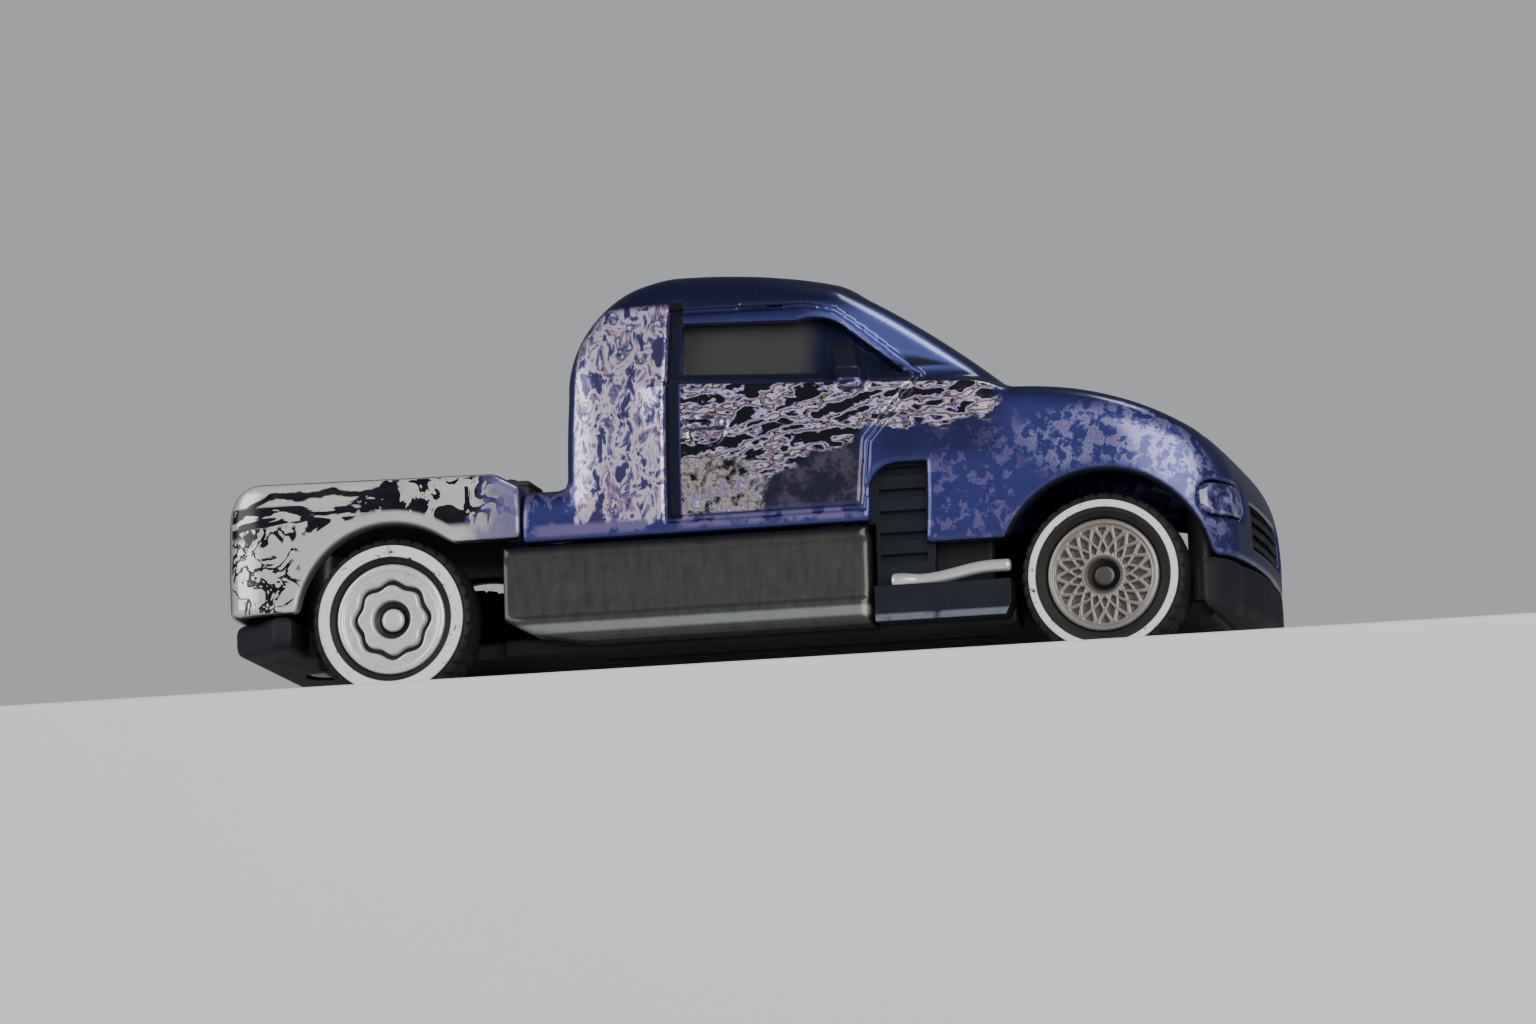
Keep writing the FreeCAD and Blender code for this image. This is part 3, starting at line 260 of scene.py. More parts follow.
def corner_views(values):
    """The eight corner values of every grid cell, with each corner's offset."""
    size = [count - 1 for count in values.shape]
    for corner in np.ndindex(2, 2, 2):
        window = tuple(slice(step, step + length) for step, length in zip(corner, size))
        yield np.array(corner), values[window]


def cell_faces(inside, index):
    """One quad round every grid edge that passes through the surface, facing outwards."""
    faces = []
    for axis in range(3):
        across, up = (axis + 1) % 3, (axis + 2) % 3
        order = np.moveaxis(inside, (axis, across, up), (0, 1, 2))
        cells = np.moveaxis(index, (axis, across, up), (0, 1, 2))
        begins, ends = order[:-1, 1:-1, 1:-1], order[1:, 1:-1, 1:-1]
        ring = [cells[:, :-1, :-1], cells[:, 1:, :-1], cells[:, 1:, 1:], cells[:, :-1, 1:]]
        for crossing, turn in ((begins & ~ends, 1), (~begins & ends, -1)):
            faces.append(np.stack([corner[crossing] for corner in ring][::turn], axis=1))
    return np.concatenate(faces)


def gradient(field, points, step):
    """The field's slope at each point, from four samples at the corners of a tetrahedron."""
    total = 0
    for corner in ((1, 1, 1), (1, -1, -1), (-1, 1, -1), (-1, -1, 1)):
        shifted = points + step * np.array(corner)
        total = total + np.outer(field(*shifted.T), corner)
    return total / (4 * step)


def mesh_field(name, field, low, high, cell, body, material, slot):
    """Meshes the surface where a field is zero, inside a box in millimetres: one point for each grid
    cell that the surface crosses, moved on to it along the field's slope."""
    cell = cell * FINE
    # The odd margin keeps grid planes off the flat faces that lie on the box. Further down, the least
    # slopes keep points where a field is nearly flat from being thrown out of their cells.
    axes = [np.arange(a - 2.03 * cell, b + 3 * cell, cell) for a, b in zip(low, high)]
    shape = tuple(len(axis) for axis in axes)
    grid = np.meshgrid(*axes, indexing="ij", sparse=True)
    values = np.broadcast_to(field(*grid), shape).astype(np.float32)
    inside = values < 0
    filled = sum(view.astype(np.int8) for _, view in corner_views(inside))
    active = (filled > 0) & (filled < 8)
    index = np.full(active.shape, -1)
    index[active] = np.arange(active.sum())
    start = np.array([axis[0] for axis in axes])
    centres = start + (np.argwhere(active) + 0.5) * cell
    samples = [(corner, view[active]) for corner, view in corner_views(values)]
    slope = sum(np.outer(value, 2 * corner - 1) for corner, value in samples) / (4 * cell)
    mean = sum(value for _, value in samples) / 8
    points = centres - slope * (mean / np.maximum((slope**2).sum(1), 0.04))[:, None]
    points = np.clip(points, centres - 0.5 * cell, centres + 0.5 * cell)
    for _ in range(2):
        slope = gradient(field, points, 0.02)
        step = field(*points.T) / np.maximum((slope**2).sum(1), 0.25)
        points = points - np.clip(step, -cell, cell)[:, None] * slope
        points = np.clip(points, centres - 0.8 * cell, centres + 0.8 * cell)
    faces = cell_faces(inside, index)
    return add_object(name, points, faces.tolist(), body, material, slot)


def stand_in(node, name, field, cell, material, slot, body="truck", low=None, high=None):
    """Meshes a field in place of a CAD node, inside that node's box unless told otherwise."""
    node_low, node_high = box_mm(node)
    low = node_low if low is None else low
    high = node_high if high is None else high
    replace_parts(mesh_field(name, field, low, high, cell, body, material, slot), node)


def turned(name, profile, place, side, body, material, slot, relief):
    """Turns a closed profile of (radius, depth) points about the axle line. Depth runs inwards from
    the wheel's outer face. relief(radius, depth, angle) gives each finished point's radius and depth."""
    profile = np.asarray(profile, float)
    steps = FACE_STEPS
    angles = np.linspace(0, 2 * math.pi, steps, endpoint=False)
    radius = np.repeat(profile[:, :1], steps, axis=1)
    depth = np.repeat(profile[:, 1:], steps, axis=1)
    turn = np.repeat(angles[None, :], len(profile), axis=0)
    radius, depth = relief(radius, depth, turn)
    points = np.stack(
        [
            place[0] + radius * np.cos(turn),
            side * (TYRE_FACE_Y - depth),
            place[2] + radius * np.sin(turn),
        ],
        axis=2,
    )
    number = np.arange(len(profile) * steps).reshape(len(profile), steps)
    ahead, beside = np.roll(number, -1, axis=0), np.roll(number, -1, axis=1)
    corner = np.roll(ahead, -1, axis=1)
    quads = np.stack([number, beside, corner, ahead], axis=2).reshape(-1, 4)
    if side < 0:
        quads = quads[:, ::-1]
    return add_object(name, points.reshape(-1, 3), quads.tolist(), body, material, slot)


# ---------------------------------------------------------------- materials


class Nodes:
    """Short ways to add nodes to a tree and link them."""

    def __init__(self, tree):
        self.tree = tree

    def put(self, socket, value):
        """Links another node's output to a socket, or sets the socket's value."""
        if isinstance(value, bpy.types.NodeSocket):
            self.tree.links.new(value, socket)
        elif isinstance(value, tuple) and len(value) == 3 and socket.type == "RGBA":
            socket.default_value = (*value, 1)
        else:
            socket.default_value = value

    def add(self, kind, **settings):
        """Adds a node. Lower-case settings are its properties, the others its inputs."""
        made = self.tree.nodes.new(kind)
        for key, value in settings.items():
            if key[0].islower():
                setattr(made, key, value)
            else:
                self.put(made.inputs[key.replace("_", " ")], value)
        return made

    def math(self, operation, *values, clamp=False):
        made = self.add("ShaderNodeMath", operation=operation, use_clamp=clamp)
        for socket, value in zip(made.inputs, values):
            self.put(socket, value)
        return made.outputs[0]

    def mix(self, amount, a, b):
        """Colour a where amount is 0, b where it is 1."""
        made = self.add("ShaderNodeMix", data_type="RGBA")
        self.put(made.inputs[0], amount)
        self.put(made.inputs["A"], a)
        self.put(made.inputs["B"], b)
        return made.outputs["Result"]

    def ramp(self, value, stops, interpolation="EASE"):
        """A colour ramp of (position, colour)."""
        made = self.add("ShaderNodeValToRGB", Fac=value)
        ramp = made.color_ramp
        ramp.interpolation = interpolation
        while len(ramp.elements) < len(stops):
            ramp.elements.new(0.5)
        for element, (position, colour) in zip(ramp.elements, stops):
            element.position = position
            element.color = (*colour, 1)
        return made.outputs[0]


class Graph(Nodes):
    """A material's nodes. Positions are in millimetres of the CAD frame."""

    def __init__(self, name, **settings):
        self.material = bpy.data.materials.new(name)
        self.material.use_nodes = True
        super().__init__(self.material.node_tree)
        self.shader = self.tree.nodes["Principled BSDF"]
        self.set(**settings)
        where = self.add("ShaderNodeTexCoord").outputs["Object"]
        scaled = self.add("ShaderNodeVectorMath", operation="SCALE", Vector=where, Scale=1 / MM)
        self.place = scaled.outputs[0]
        self.x, self.y, self.z = self.add("ShaderNodeSeparateXYZ", Vector=self.place).outputs

    def set(self, **settings):
        """Sets inputs of the Principled shader by name, with underscores for spaces."""
        for key, value in settings.items():
            self.put(self.shader.inputs[key.replace("_", " ")], value)

    def noise(self, scale, detail=3, roughness=0.55, distortion=0.0, place=None):
        """0 to 1 in soft patches about 1 / scale millimetres wide."""
        made = self.add(
            "ShaderNodeTexNoise", Vector=place or self.place, Scale=scale, Detail=detail,
            Roughness=roughness, Distortion=distortion,
        )
        return made.outputs["Fac"]

    def drift(self, start, amount, scale, detail=3, roughness=0.55):
        """A value that varies from start to start + amount in soft patches."""
        return self.math("MULTIPLY_ADD", self.noise(scale, detail, roughness), amount, start)

    def fade(self, amount, start, end):
        """The value start where amount is 0, and end where it is 1."""
        return self.math("MULTIPLY_ADD", amount, end - start, start)

    def stretched(self, scales, turn=0.0):
        """The position scaled along each axis, after a turn about Y."""
        made = self.add(
            "ShaderNodeMapping", vector_type="POINT", Vector=self.place, Rotation=(0, turn, 0), Scale=scales,
        )
        return made.outputs[0]

    def step(self, value, low, high):
        """0 below low, 1 above high, smooth between. With low above high it falls instead."""
        made = self.add(
            "ShaderNodeMapRange", interpolation_type="SMOOTHSTEP", Value=value, From_Min=low, From_Max=high,
        )
        return made.outputs[0]

    def band(self, value, low, high, soft=0.2):
        """1 between low and high."""
        begins = self.step(value, low - soft, low + soft)
        ends = self.step(value, high + soft, high - soft)
        return self.all_of(begins, ends)

    def all_of(self, *masks):
        """1 where every mask is 1."""
        return functools.reduce(lambda a, b: self.math("MULTIPLY", a, b), masks)

    def any_of(self, *masks):
        """1 where any mask is 1."""
        return functools.reduce(lambda a, b: self.math("MAXIMUM", a, b), masks)

    def bump(self, height, strength, distance, radius=0.0):
        """Surface detail; radius, in millimetres, also rounds the edges of plain CAD pieces."""
        made = self.add("ShaderNodeBump", Height=height, Strength=strength, Distance=distance * MM)
        if radius:
            bevel = self.add("ShaderNodeBevel", samples=6, Radius=radius * MM)
            self.put(made.inputs["Normal"], bevel.outputs[0])
        self.set(Normal=made.outputs[0])

    def direction(self, axis):
        """How far the surface faces along an axis: 0 for X, 1 for Y, 2 for Z."""
        normal = self.add("ShaderNodeNewGeometry").outputs["Normal"]
        return self.add("ShaderNodeSeparateXYZ", Vector=normal).outputs[axis]

    def facing_side(self):
        """1 where the surface faces left or right."""
        return self.step(self.math("ABSOLUTE", self.direction(1)), 0.45, 0.7)

    def wide(self):
        """Distance from the truck's middle plane."""
        return self.math("ABSOLUTE", self.y)

    def from_axle(self, axle):
        """Distance from an axle line, seen from the side."""
        across = self.math("POWER", self.math("SUBTRACT", self.x, float(axle[0])), 2.0)
        up = self.math("POWER", self.math("SUBTRACT", self.z, float(axle[2])), 2.0)
        return self.math("SQRT", self.math("ADD", across, up))


# Colours, as linear red, green and blue.
VIOLET = (0.037, 0.040, 0.205)
DEEP_VIOLET = (0.010, 0.011, 0.052)
LILAC = (0.21, 0.17, 0.39)
PINK = (0.42, 0.27, 0.36)
CREAM = (0.55, 0.49, 0.42)
PALE = (0.73, 0.66, 0.83)
INK = (0.005, 0.005, 0.009)

# The black door pillar's edges, and the slant of the strokes printed over the door.
PILLAR_REAR, PILLAR_FRONT = -4.15, -3.0
STROKE_SLANT = math.radians(25)


def rear_panel_print(g, side, base):
    """Lilac, pink and white blotches on the cab's side behind the door, thinning out over the ledge."""
    blotches = g.noise(0.62, 3, 0.65, 0.5, g.stretched((1.5, 1.0, 0.85)))
    colour = g.ramp(blotches, [
        (0.41, (0.06, 0.05, 0.16)), (0.44, LILAC), (0.48, PALE), (0.53, PALE), (0.565, PINK), (0.60, LILAC),
        (0.64, (0.05, 0.045, 0.14)), (0.68, PALE),
    ])
    ragged = g.drift(g.x, 0.8, 0.9)
    panel = g.all_of(side, g.band(ragged, -10.6, -3.8, 0.12), g.band(g.z, 11.8, 28.4, 0.3))
    dabs = g.step(blotches, 0.5, 0.56)
    ledge = g.all_of(side, g.band(g.x, -18, -10, 0.3), g.band(g.z, 11.6, 15.4, 0.4), dabs, 0.7)
    return g.mix(panel, g.mix(ledge, base, LILAC), colour)


def door_strokes(g):
    """Colours of the black, lilac and cream strokes, which wander and break up as they rise forwards."""
    wave = g.add(
        "ShaderNodeTexWave", wave_type="BANDS", bands_direction="Z", Distortion=7.0, Detail=3,
        Vector=g.stretched((0.42, 1.0, 1.0), STROKE_SLANT), Scale=0.314 / 1.6, Detail_Scale=2.2,
        Detail_Roughness=0.65,
    )
    strokes = g.math("ADD", wave.outputs["Fac"], g.drift(-0.25, 0.5, 1.5, 4, 0.7))
    broken = g.noise(0.75, 3, 0.6, 0.4, g.stretched((0.6, 1.0, 1.2), STROKE_SLANT))
    broken = g.math("MULTIPLY_ADD", broken, 2.2, -0.87)
    return g.ramp(g.math("ADD", g.math("MULTIPLY", strokes, 0.55), broken), [
        (0.20, INK), (0.29, INK), (0.33, LILAC), (0.42, PALE), (0.50, (0.08, 0.07, 0.2)), (0.56, PINK),
        (0.62, INK), (0.66, INK), (0.69, CREAM), (0.78, PALE), (0.86, LILAC), (0.95, INK),
    ])


def door_print(g, side, belt, base):
    """The strokes across the door, which run out on the wing, over a dark lower door with a patch of
    grey grain at its rear, and painted shade darkening its front corner."""
    behind = g.step(g.x, PILLAR_FRONT, PILLAR_FRONT + 0.2)
    low_door = g.all_of(side, g.band(g.x, -2.9, 10.6, 0.3), g.band(g.z, 12.4, 18, 0.5))
    shadow = g.mix(g.step(g.noise(0.7, 4, 0.7), 0.45, 0.65), (0.022, 0.02, 0.045), (0.085, 0.07, 0.12))
    base = g.mix(low_door, base, shadow)
    # Painted shade: the side round the front end of the print is darkened towards deep violet.
    painted_front_shade = g.all_of(side, g.band(g.x, 11.4, 20.4, 1.6), g.band(g.z, 15.6, 22, 1.0), 0.7)
    base = g.mix(painted_front_shade, base, DEEP_VIOLET)

    low_edge = g.math("MINIMUM", g.math("MULTIPLY_ADD", g.x, 0.42, 13.4), 18.0)
    height = g.math("ADD", g.math("SUBTRACT", g.z, low_edge), g.drift(-1.6, 3.2, 0.45))
    front = g.step(g.drift(g.x, 5.0, 0.6), 23.4, 22.0)
    drawn = g.all_of(side, g.step(height, -0.2, 0.3), behind, front, g.step(belt, 21.75, 21.6))
    base = g.mix(drawn, base, door_strokes(g))

    grain_front = g.step(g.drift(g.x, 6.0, 0.6, 4, 0.7), 6.4, 5.4)
    grain_top = g.step(g.drift(g.z, 3.0, 0.7), 18.2, 17.4)
    low_rear = g.all_of(side, grain_front, behind, g.step(g.z, 12.2, 12.5), grain_top)
    grain = g.ramp(
        g.noise(1.1, 4, 0.7),
        [(0.38, INK), (0.45, (0.20, 0.18, 0.21)), (0.52, CREAM), (0.58, LILAC), (0.66, PALE)],
    )
    return g.mix(low_rear, base, grain)


def speckle(g):
    """The pattern of the dots on the wing, which carries on across the headlights."""
    return g.noise(1.45, 3, 0.6, 0.3)


def wing_print(g, side, base):
    """Lilac speckle along the wing and down the side of the nose, thinner behind the wheel."""
    dots = speckle(g)
    ahead = g.step(g.math("MULTIPLY_ADD", g.x, 0.9, g.z), 34.0, 37.6)
    over_wheel = g.band(g.from_axle(FRONT_AXLE), 8.3, 12.6, 0.7)
    wing = g.all_of(side, ahead, over_wheel, g.step(dots, 0.44, 0.5))
    few_dots = g.step(dots, 0.50, 0.60)
    fender = g.all_of(side, g.band(g.x, 15.2, 22, 0.6), g.step(g.z, 19.5, 17), few_dots, 0.6)
    stops = [(0.45, VIOLET), (0.50, (0.10, 0.11, 0.32)), (0.56, (0.25, 0.24, 0.48)), (0.62, LILAC)]
    return g.mix(wing, g.mix(fender, base, LILAC), g.ramp(dots, stops))


def matt_black_and_painted_shade(g, side, belt, wide):
    """1 on the printed pillar and waist line and on the mirrors, and on painted shade inside the casting and
    its arches.
    """
    pillar = g.all_of(side, g.band(g.x, PILLAR_REAR, PILLAR_FRONT, 0.1), g.band(g.z, 12, 28.8, 0.2))
    waist = g.all_of(side, g.band(g.x, -4, 14.2, 0.2), g.band(belt, 21.85, 22.65, 0.08))
    mirror = g.all_of(g.step(wide, 13.2, 13.5), g.step(g.z, 22.2, 22.5), g.step(g.x, 7.4, 8.0))
    # Painted shade: the inside of the front arch and of the casting is turned matt black.
    arch = g.all_of(g.step(g.from_axle(FRONT_AXLE), 8.2, 7.8), g.step(wide, 15.3, 15.0))
    inside = g.all_of(g.step(wide, 14.0, 13.6), g.step(g.z, 14.4, 14.0), g.step(g.x, 33, 32))
    return g.any_of(pillar, waist, mirror, arch, inside)


def violet_enamel():
    """Metallic violet-blue enamel with painted shade darkening its top and roof, and the printed panels under
    its clear coat.
    """
    g = Graph("violet_enamel", Coat_Roughness=0.1)
    facing = g.add("ShaderNodeLayerWeight", Blend=0.4).outputs["Facing"]
    base = g.mix(facing, VIOLET, DEEP_VIOLET)
    # Painted shade: faces that look up, and the band round the roof, are darkened towards deep violet.
    upward = g.step(g.direction(2), 0.35, 0.7)
    base = g.mix(g.any_of(g.math("MULTIPLY", upward, 0.85), g.step(g.z, 26.4, 28.6)), base, DEEP_VIOLET)
    flake = g.math("MULTIPLY", g.step(g.noise(14, 1), 0.58, 0.72), 0.25)
    base = g.mix(flake, base, (0.12, 0.14, 0.46))

    wide = g.wide()
    side = g.math("MULTIPLY", g.facing_side(), g.step(wide, 9.2, 9.6))
    belt = g.math("MULTIPLY_ADD", g.x, BELT_FALL, g.math("SUBTRACT", g.z, 5 * BELT_FALL))
    # Painted highlight: a lighter violet on the windscreen pillars stands in for the light they catch.
    along_pillar_highlight = g.step(g.math("MULTIPLY_ADD", g.z, 1.1, g.x), 35.6, 37.6)
    post = g.all_of(side, g.step(belt, 22.4, 22.8), along_pillar_highlight, g.step(g.z, 28.4, 26.4), 0.75)
    base = g.mix(post, base, (0.16, 0.19, 0.58))
    base = rear_panel_print(g, side, base)
    base = wing_print(g, side, base)
    base = door_print(g, side, belt, base)
    # Painted highlight: lilac patches along the sill stand in for light caught by its curved lower edge.
    patchy_wear_and_highlight = g.step(g.noise(0.5, 3), 0.4, 0.5)
    sill = g.all_of(side, g.band(g.x, -14, 10.4, 0.4), g.band(g.z, 11.4, 12.2, 0.2), patchy_wear_and_highlight)
    base = g.mix(sill, base, LILAC)

    # Matt black on the print and mirrors, and painted shade inside the casting and its arches.
    black_and_shade_mask = matt_black_and_painted_shade(g, side, belt, wide)
    g.set(
        Base_Color=g.mix(g.math("MULTIPLY", black_and_shade_mask, 0.95), base, INK),
        Metallic=g.fade(black_and_shade_mask, 0.6, 0.0),
        Coat_Weight=g.fade(black_and_shade_mask, 0.75, 0.0),
        Specular_IOR_Level=g.fade(black_and_shade_mask, 0.5, 0.12),
        Roughness=g.math("MULTIPLY_ADD", black_and_shade_mask, 0.4, g.drift(0.24, 0.12, 0.4, 4)),
    )
    g.bump(g.noise(0.35, 2), 0.05, 0.1)
    return g.material


def bed_print(g, side):
    """1 on the black strokes printed along the bed's rails and tail."""
    long_marks = g.noise(0.55, 3, 0.6, 0.6, g.stretched((0.4, 1.0, 1.2), math.radians(4)))
    short_marks = g.noise(0.68, 3, 0.6, 0.8, g.stretched((0.9, 1.0, 0.8)))
    marks = g.mix(g.step(g.x, -29, -25), g.step(long_marks, 0.52, 0.505), g.step(short_marks, 0.515, 0.50))
    ceiling = g.fade(g.step(g.x, -28, -25), 14.9, 16.9)
    under_ceiling = g.step(g.math("SUBTRACT", ceiling, g.z), -0.1, 0.1)
    off_arch = g.step(g.from_axle(REAR_AXLE), 7.8, 8.2)
    rail = g.all_of(marks, g.step(g.z, 12.2, 12.9), off_arch, under_ceiling)
    squiggle = g.band(g.noise(0.4, 3, 0.6, 1.4), 0.45, 0.53, 0.01)
    tail = g.all_of(squiggle, g.step(g.x, -31.2, -32.2), g.step(g.z, 13.6, 13.2))
    past_corner = g.math("MINIMUM", g.math("ADD", g.x, 34.0), 0.0)
    height = g.math("MULTIPLY_ADD", past_corner, -0.5, g.drift(g.z, 1.4, 0.4))
    top_stroke = g.all_of(g.step(g.x, -23, -26), g.band(height, 16.0, 16.55, 0.08))
    return g.math("MULTIPLY", g.any_of(rail, tail, top_stroke), side)


def bare_zinc():
    """Polished bare casting with printed strokes and a little violet overspray next to the cab. Its side
    faces are lightened as painted light, and painted shade darkens and roughens the inside of the casting and
    the rear arch."""
    g = Graph("bare_zinc")
    metal = g.mix(g.noise(0.35, 4), (0.50, 0.50, 0.49), (0.80, 0.80, 0.78))
    wide = g.wide()
    side = g.math("MULTIPLY", g.facing_side(), g.step(wide, 12.9, 13.2))
    # Painted shade: the rear arch and the inside of the casting are turned black and rough.
    arch = g.math("MULTIPLY", g.step(g.from_axle(REAR_AXLE), 7.5, 7.1), 0.9)
    inside = g.all_of(g.step(wide, 14.4, 14.0), g.step(g.z, 13.6, 13.2), g.step(g.x, -37.4, -37.0))
    black_and_shade_mask = g.any_of(arch, inside)
    print_and_painted_shade = g.any_of(bed_print(g, side), black_and_shade_mask)
    # Painted light: faces that look to either side are lightened towards white and, further down, made less
    # metallic.
    metal_with_painted_side_light = g.mix(g.math("MULTIPLY", side, 0.8), metal, (0.74, 0.73, 0.71))
    colour = g.mix(print_and_painted_shade, metal_with_painted_side_light, INK)
    spray = g.all_of(g.step(g.drift(g.x, 7.0, 0.7, 4), -16.2, -12.6), g.step(g.z, 16.4, 16.1), 0.8)
    g.set(
        Base_Color=g.mix(spray, colour, g.mix(g.noise(1.0, 3), VIOLET, LILAC)),
        Metallic=g.math("MULTIPLY", g.fade(print_and_painted_shade, 1.0, 0.0), g.fade(side, 0.92, 0.42)),
        Roughness=g.math("MULTIPLY_ADD", black_and_shade_mask, 0.5, g.drift(0.1, 0.25, 0.9, 5)),
    )
    g.bump(g.noise(1.3, 4), 0.12, 0.1)
    return g.material


def moulded(name, colour, roughness, radius=0.15):
    """Injection-moulded plastic: fine grain, faint colour drift and handling marks."""
    g = Graph(name, Specular_IOR_Level=0.18)
    lighter = tuple(1.25 * channel + 0.01 for channel in colour)
    g.set(
        Base_Color=g.mix(g.noise(0.3, 4), colour, lighter),
        Roughness=g.drift(roughness - 0.12, 0.25, 0.8, 4),
    )
    g.bump(g.noise(5, 2), 0.35, 0.02, radius)
    return g.material


def step_plastic():
    """Blue-black step with a painted highlight, in patches, along the lower edge of its tread."""
    g = Graph("step_plastic", Specular_IOR_Level=0.15)
    # Painted highlight: a paler band along the lower edge of the side face stands in for light caught by that
    # edge.
    patchy_wear_and_highlight = g.all_of(g.facing_side(), g.band(g.z, 3.5, 4.1, 0.1), g.step(g.noise(0.8, 4), 0.3, 0.5))
    black = g.mix(g.noise(0.4, 4), (0.006, 0.007, 0.012), (0.018, 0.02, 0.03))
    g.set(Base_Color=g.mix(patchy_wear_and_highlight, black, (0.13, 0.14, 0.18)), Roughness=g.drift(0.3, 0.3, 1.1, 4))
    g.bump(g.noise(4.0, 3), 0.2, 0.02, 0.15)
    return g.material


def skirt_plastic():
    """Dark grey side tank with faint upright streaks, a painted highlight along its lower edge and painted
    shade along its top.
    """
    g = Graph("skirt_plastic", Metallic=0.35, Coat_Weight=0.6, Coat_Roughness=0.12)
    streaks = g.noise(1.0, 5, 0.7, 0.3, g.stretched((1.6, 1.0, 0.35)))
    body = g.ramp(
        streaks, [(0.3, (0.026, 0.026, 0.026)), (0.55, (0.042, 0.042, 0.04)), (0.8, (0.07, 0.068, 0.06))]
    )
    # Painted highlight: a paler band along the lower edge stands in for light caught by its rounded lip.
    low_edge = g.band(g.z, 4.2, 4.9, 0.15)
    body = g.mix(g.math("MULTIPLY", low_edge, 0.75), body, (0.26, 0.28, 0.28))
    # Painted shade: the top of the tank, above Z 10, is turned black.
    g.set(Base_Color=g.mix(g.step(g.z, 9.9, 10.4), body, INK), Roughness=g.drift(0.25, 0.3, 1.1, 4))
    g.bump(g.noise(3.0, 3, place=g.stretched((1.6, 1.0, 0.5))), 0.15, 0.04)
    return g.material


def bright_metal(name, colour, roughness, radius=0.0, metallic=1.0):
    """Plated or drawn metal with fine handling scratches."""
    g = Graph(name, Metallic=metallic)
    g.set(
        Base_Color=g.mix(g.noise(0.7, 4), colour, tuple(0.8 * channel for channel in colour)),
        Roughness=g.drift(roughness - 0.08, 0.2, 3.0, 5, 0.7),
    )
    g.bump(g.noise(4.5, 3), 0.12, 0.02, radius)
    return g.material


def tyre_rubber(end, axle, ring_inner, ring_outer):
    """Satin black tyre whose raised side ring is printed white, a little worn."""
    g = Graph(f"{end}_tyre_rubber", Specular_IOR_Level=0.3)
    outside = g.step(g.wide(), TYRE_FACE_Y - 0.35, TYRE_FACE_Y - 0.2)
    patchy_wear_and_highlight = g.step(g.noise(1.5, 5, 0.7), 0.3, 0.42)
    ring = g.all_of(g.band(g.from_axle(axle), ring_inner, ring_outer, 0.04), outside, patchy_wear_and_highlight)
    rubber = g.mix(g.noise(0.5, 4), (0.006, 0.006, 0.006), (0.014, 0.014, 0.014))
    paint = g.mix(g.noise(1.2, 3), (0.82, 0.82, 0.80), (0.66, 0.66, 0.64))
    g.set(Base_Color=g.mix(ring, rubber, paint), Roughness=g.drift(0.5, 0.25, 1.0, 4))
    g.bump(g.noise(6, 2), 0.25, 0.02)
    return g.material


def rim_plate(end, axle, colour, recess_shade_colour, depth_low, depth_high):
    """Satin plated rim, lighter on its raised face, with painted shade darkening its recesses and hub well.
    """
    g = Graph(f"{end}_rim_plate")
    inward = g.math("SUBTRACT", TYRE_FACE_Y, g.wide())
    # Painted shade: the deeper parts of the face and the hub well take the dark, less metallic recess colour.
    recess = g.any_of(g.step(inward, depth_low, depth_high), g.step(g.from_axle(axle), 1.45, 1.35))
    plate = g.mix(g.noise(0.9, 4), colour, tuple(0.82 * channel for channel in colour))
    g.set(
        Base_Color=g.mix(recess, plate, recess_shade_colour),
        Metallic=g.fade(recess, 0.5, 0.1),
        Roughness=g.drift(0.2, 0.2, 2.0, 4),
    )
    g.bump(g.noise(4, 3), 0.1, 0.02)
    return g.material


def see_through(g, tint, opacity):
    """Finishes a thin tinted plastic that shows what is behind it, with moulding waves and dust."""
    dust = g.math("MULTIPLY_ADD", g.noise(1.5, 5, 0.7), 0.12, opacity - 0.06, clamp=True)
    g.set(Base_Color=tint, Alpha=dust)
    g.bump(g.noise(0.35, 2), 0.1, 0.05)
    return g.material


def red_lens():
    """The tail lamps' red plastic."""
    g = Graph("red_lens", Roughness=0.05, IOR=1.8)
    return see_through(g, g.mix(g.noise(0.25, 3), (0.45, 0.008, 0.008), (0.27, 0.0048, 0.0048)), 0.85)


def smoked_plastic():
    """The grey cab glazing, bluer towards the windscreen. Its high index keeps the reflections of so
    thin a pane as strong as in the real one."""
    g = Graph("smoked_clear", Roughness=0.12, IOR=1.7)
    smoke = g.mix(g.noise(0.25, 3), (0.10, 0.10, 0.105), (0.065, 0.065, 0.07))
    return see_through(g, g.mix(g.step(g.x, 5.4, 7.4), smoke, (0.012, 0.016, 0.05)), 0.5)


def lamp_lens():
    """Ribbed headlight lenses, tinted like the enamel round them, with the speckle carried across."""
    g = Graph("lamp_lens", Roughness=0.08, IOR=1.7, Coat_Weight=1.0)
    g.set(Base_Color=g.ramp(
        speckle(g), [(0.40, DEEP_VIOLET), (0.50, (0.05, 0.05, 0.17)), (0.62, (0.20, 0.19, 0.36))]
    ))
    g.bump(g.math("SINE", g.math("MULTIPLY", g.y, 9.0)), 0.4, 0.04)
    return g.material


# ---------------------------------------------------------------- the cab casting

# The belt line under the side windows, at X = 5, and its fall in each millimetre towards the nose.
BELT_Z = 21.9
BELT_FALL = 0.054
LEDGE_Z = 15.2
BACK_X = -11.8
SCREEN_LOW = 19.9
COWL_X = 21.9
HOOD_SIDE = 11.2
HOOD_LOW = 12
GROOVE = 0.19
CAB_ROUNDING = 2.4
BED_ROUNDING = 1.3

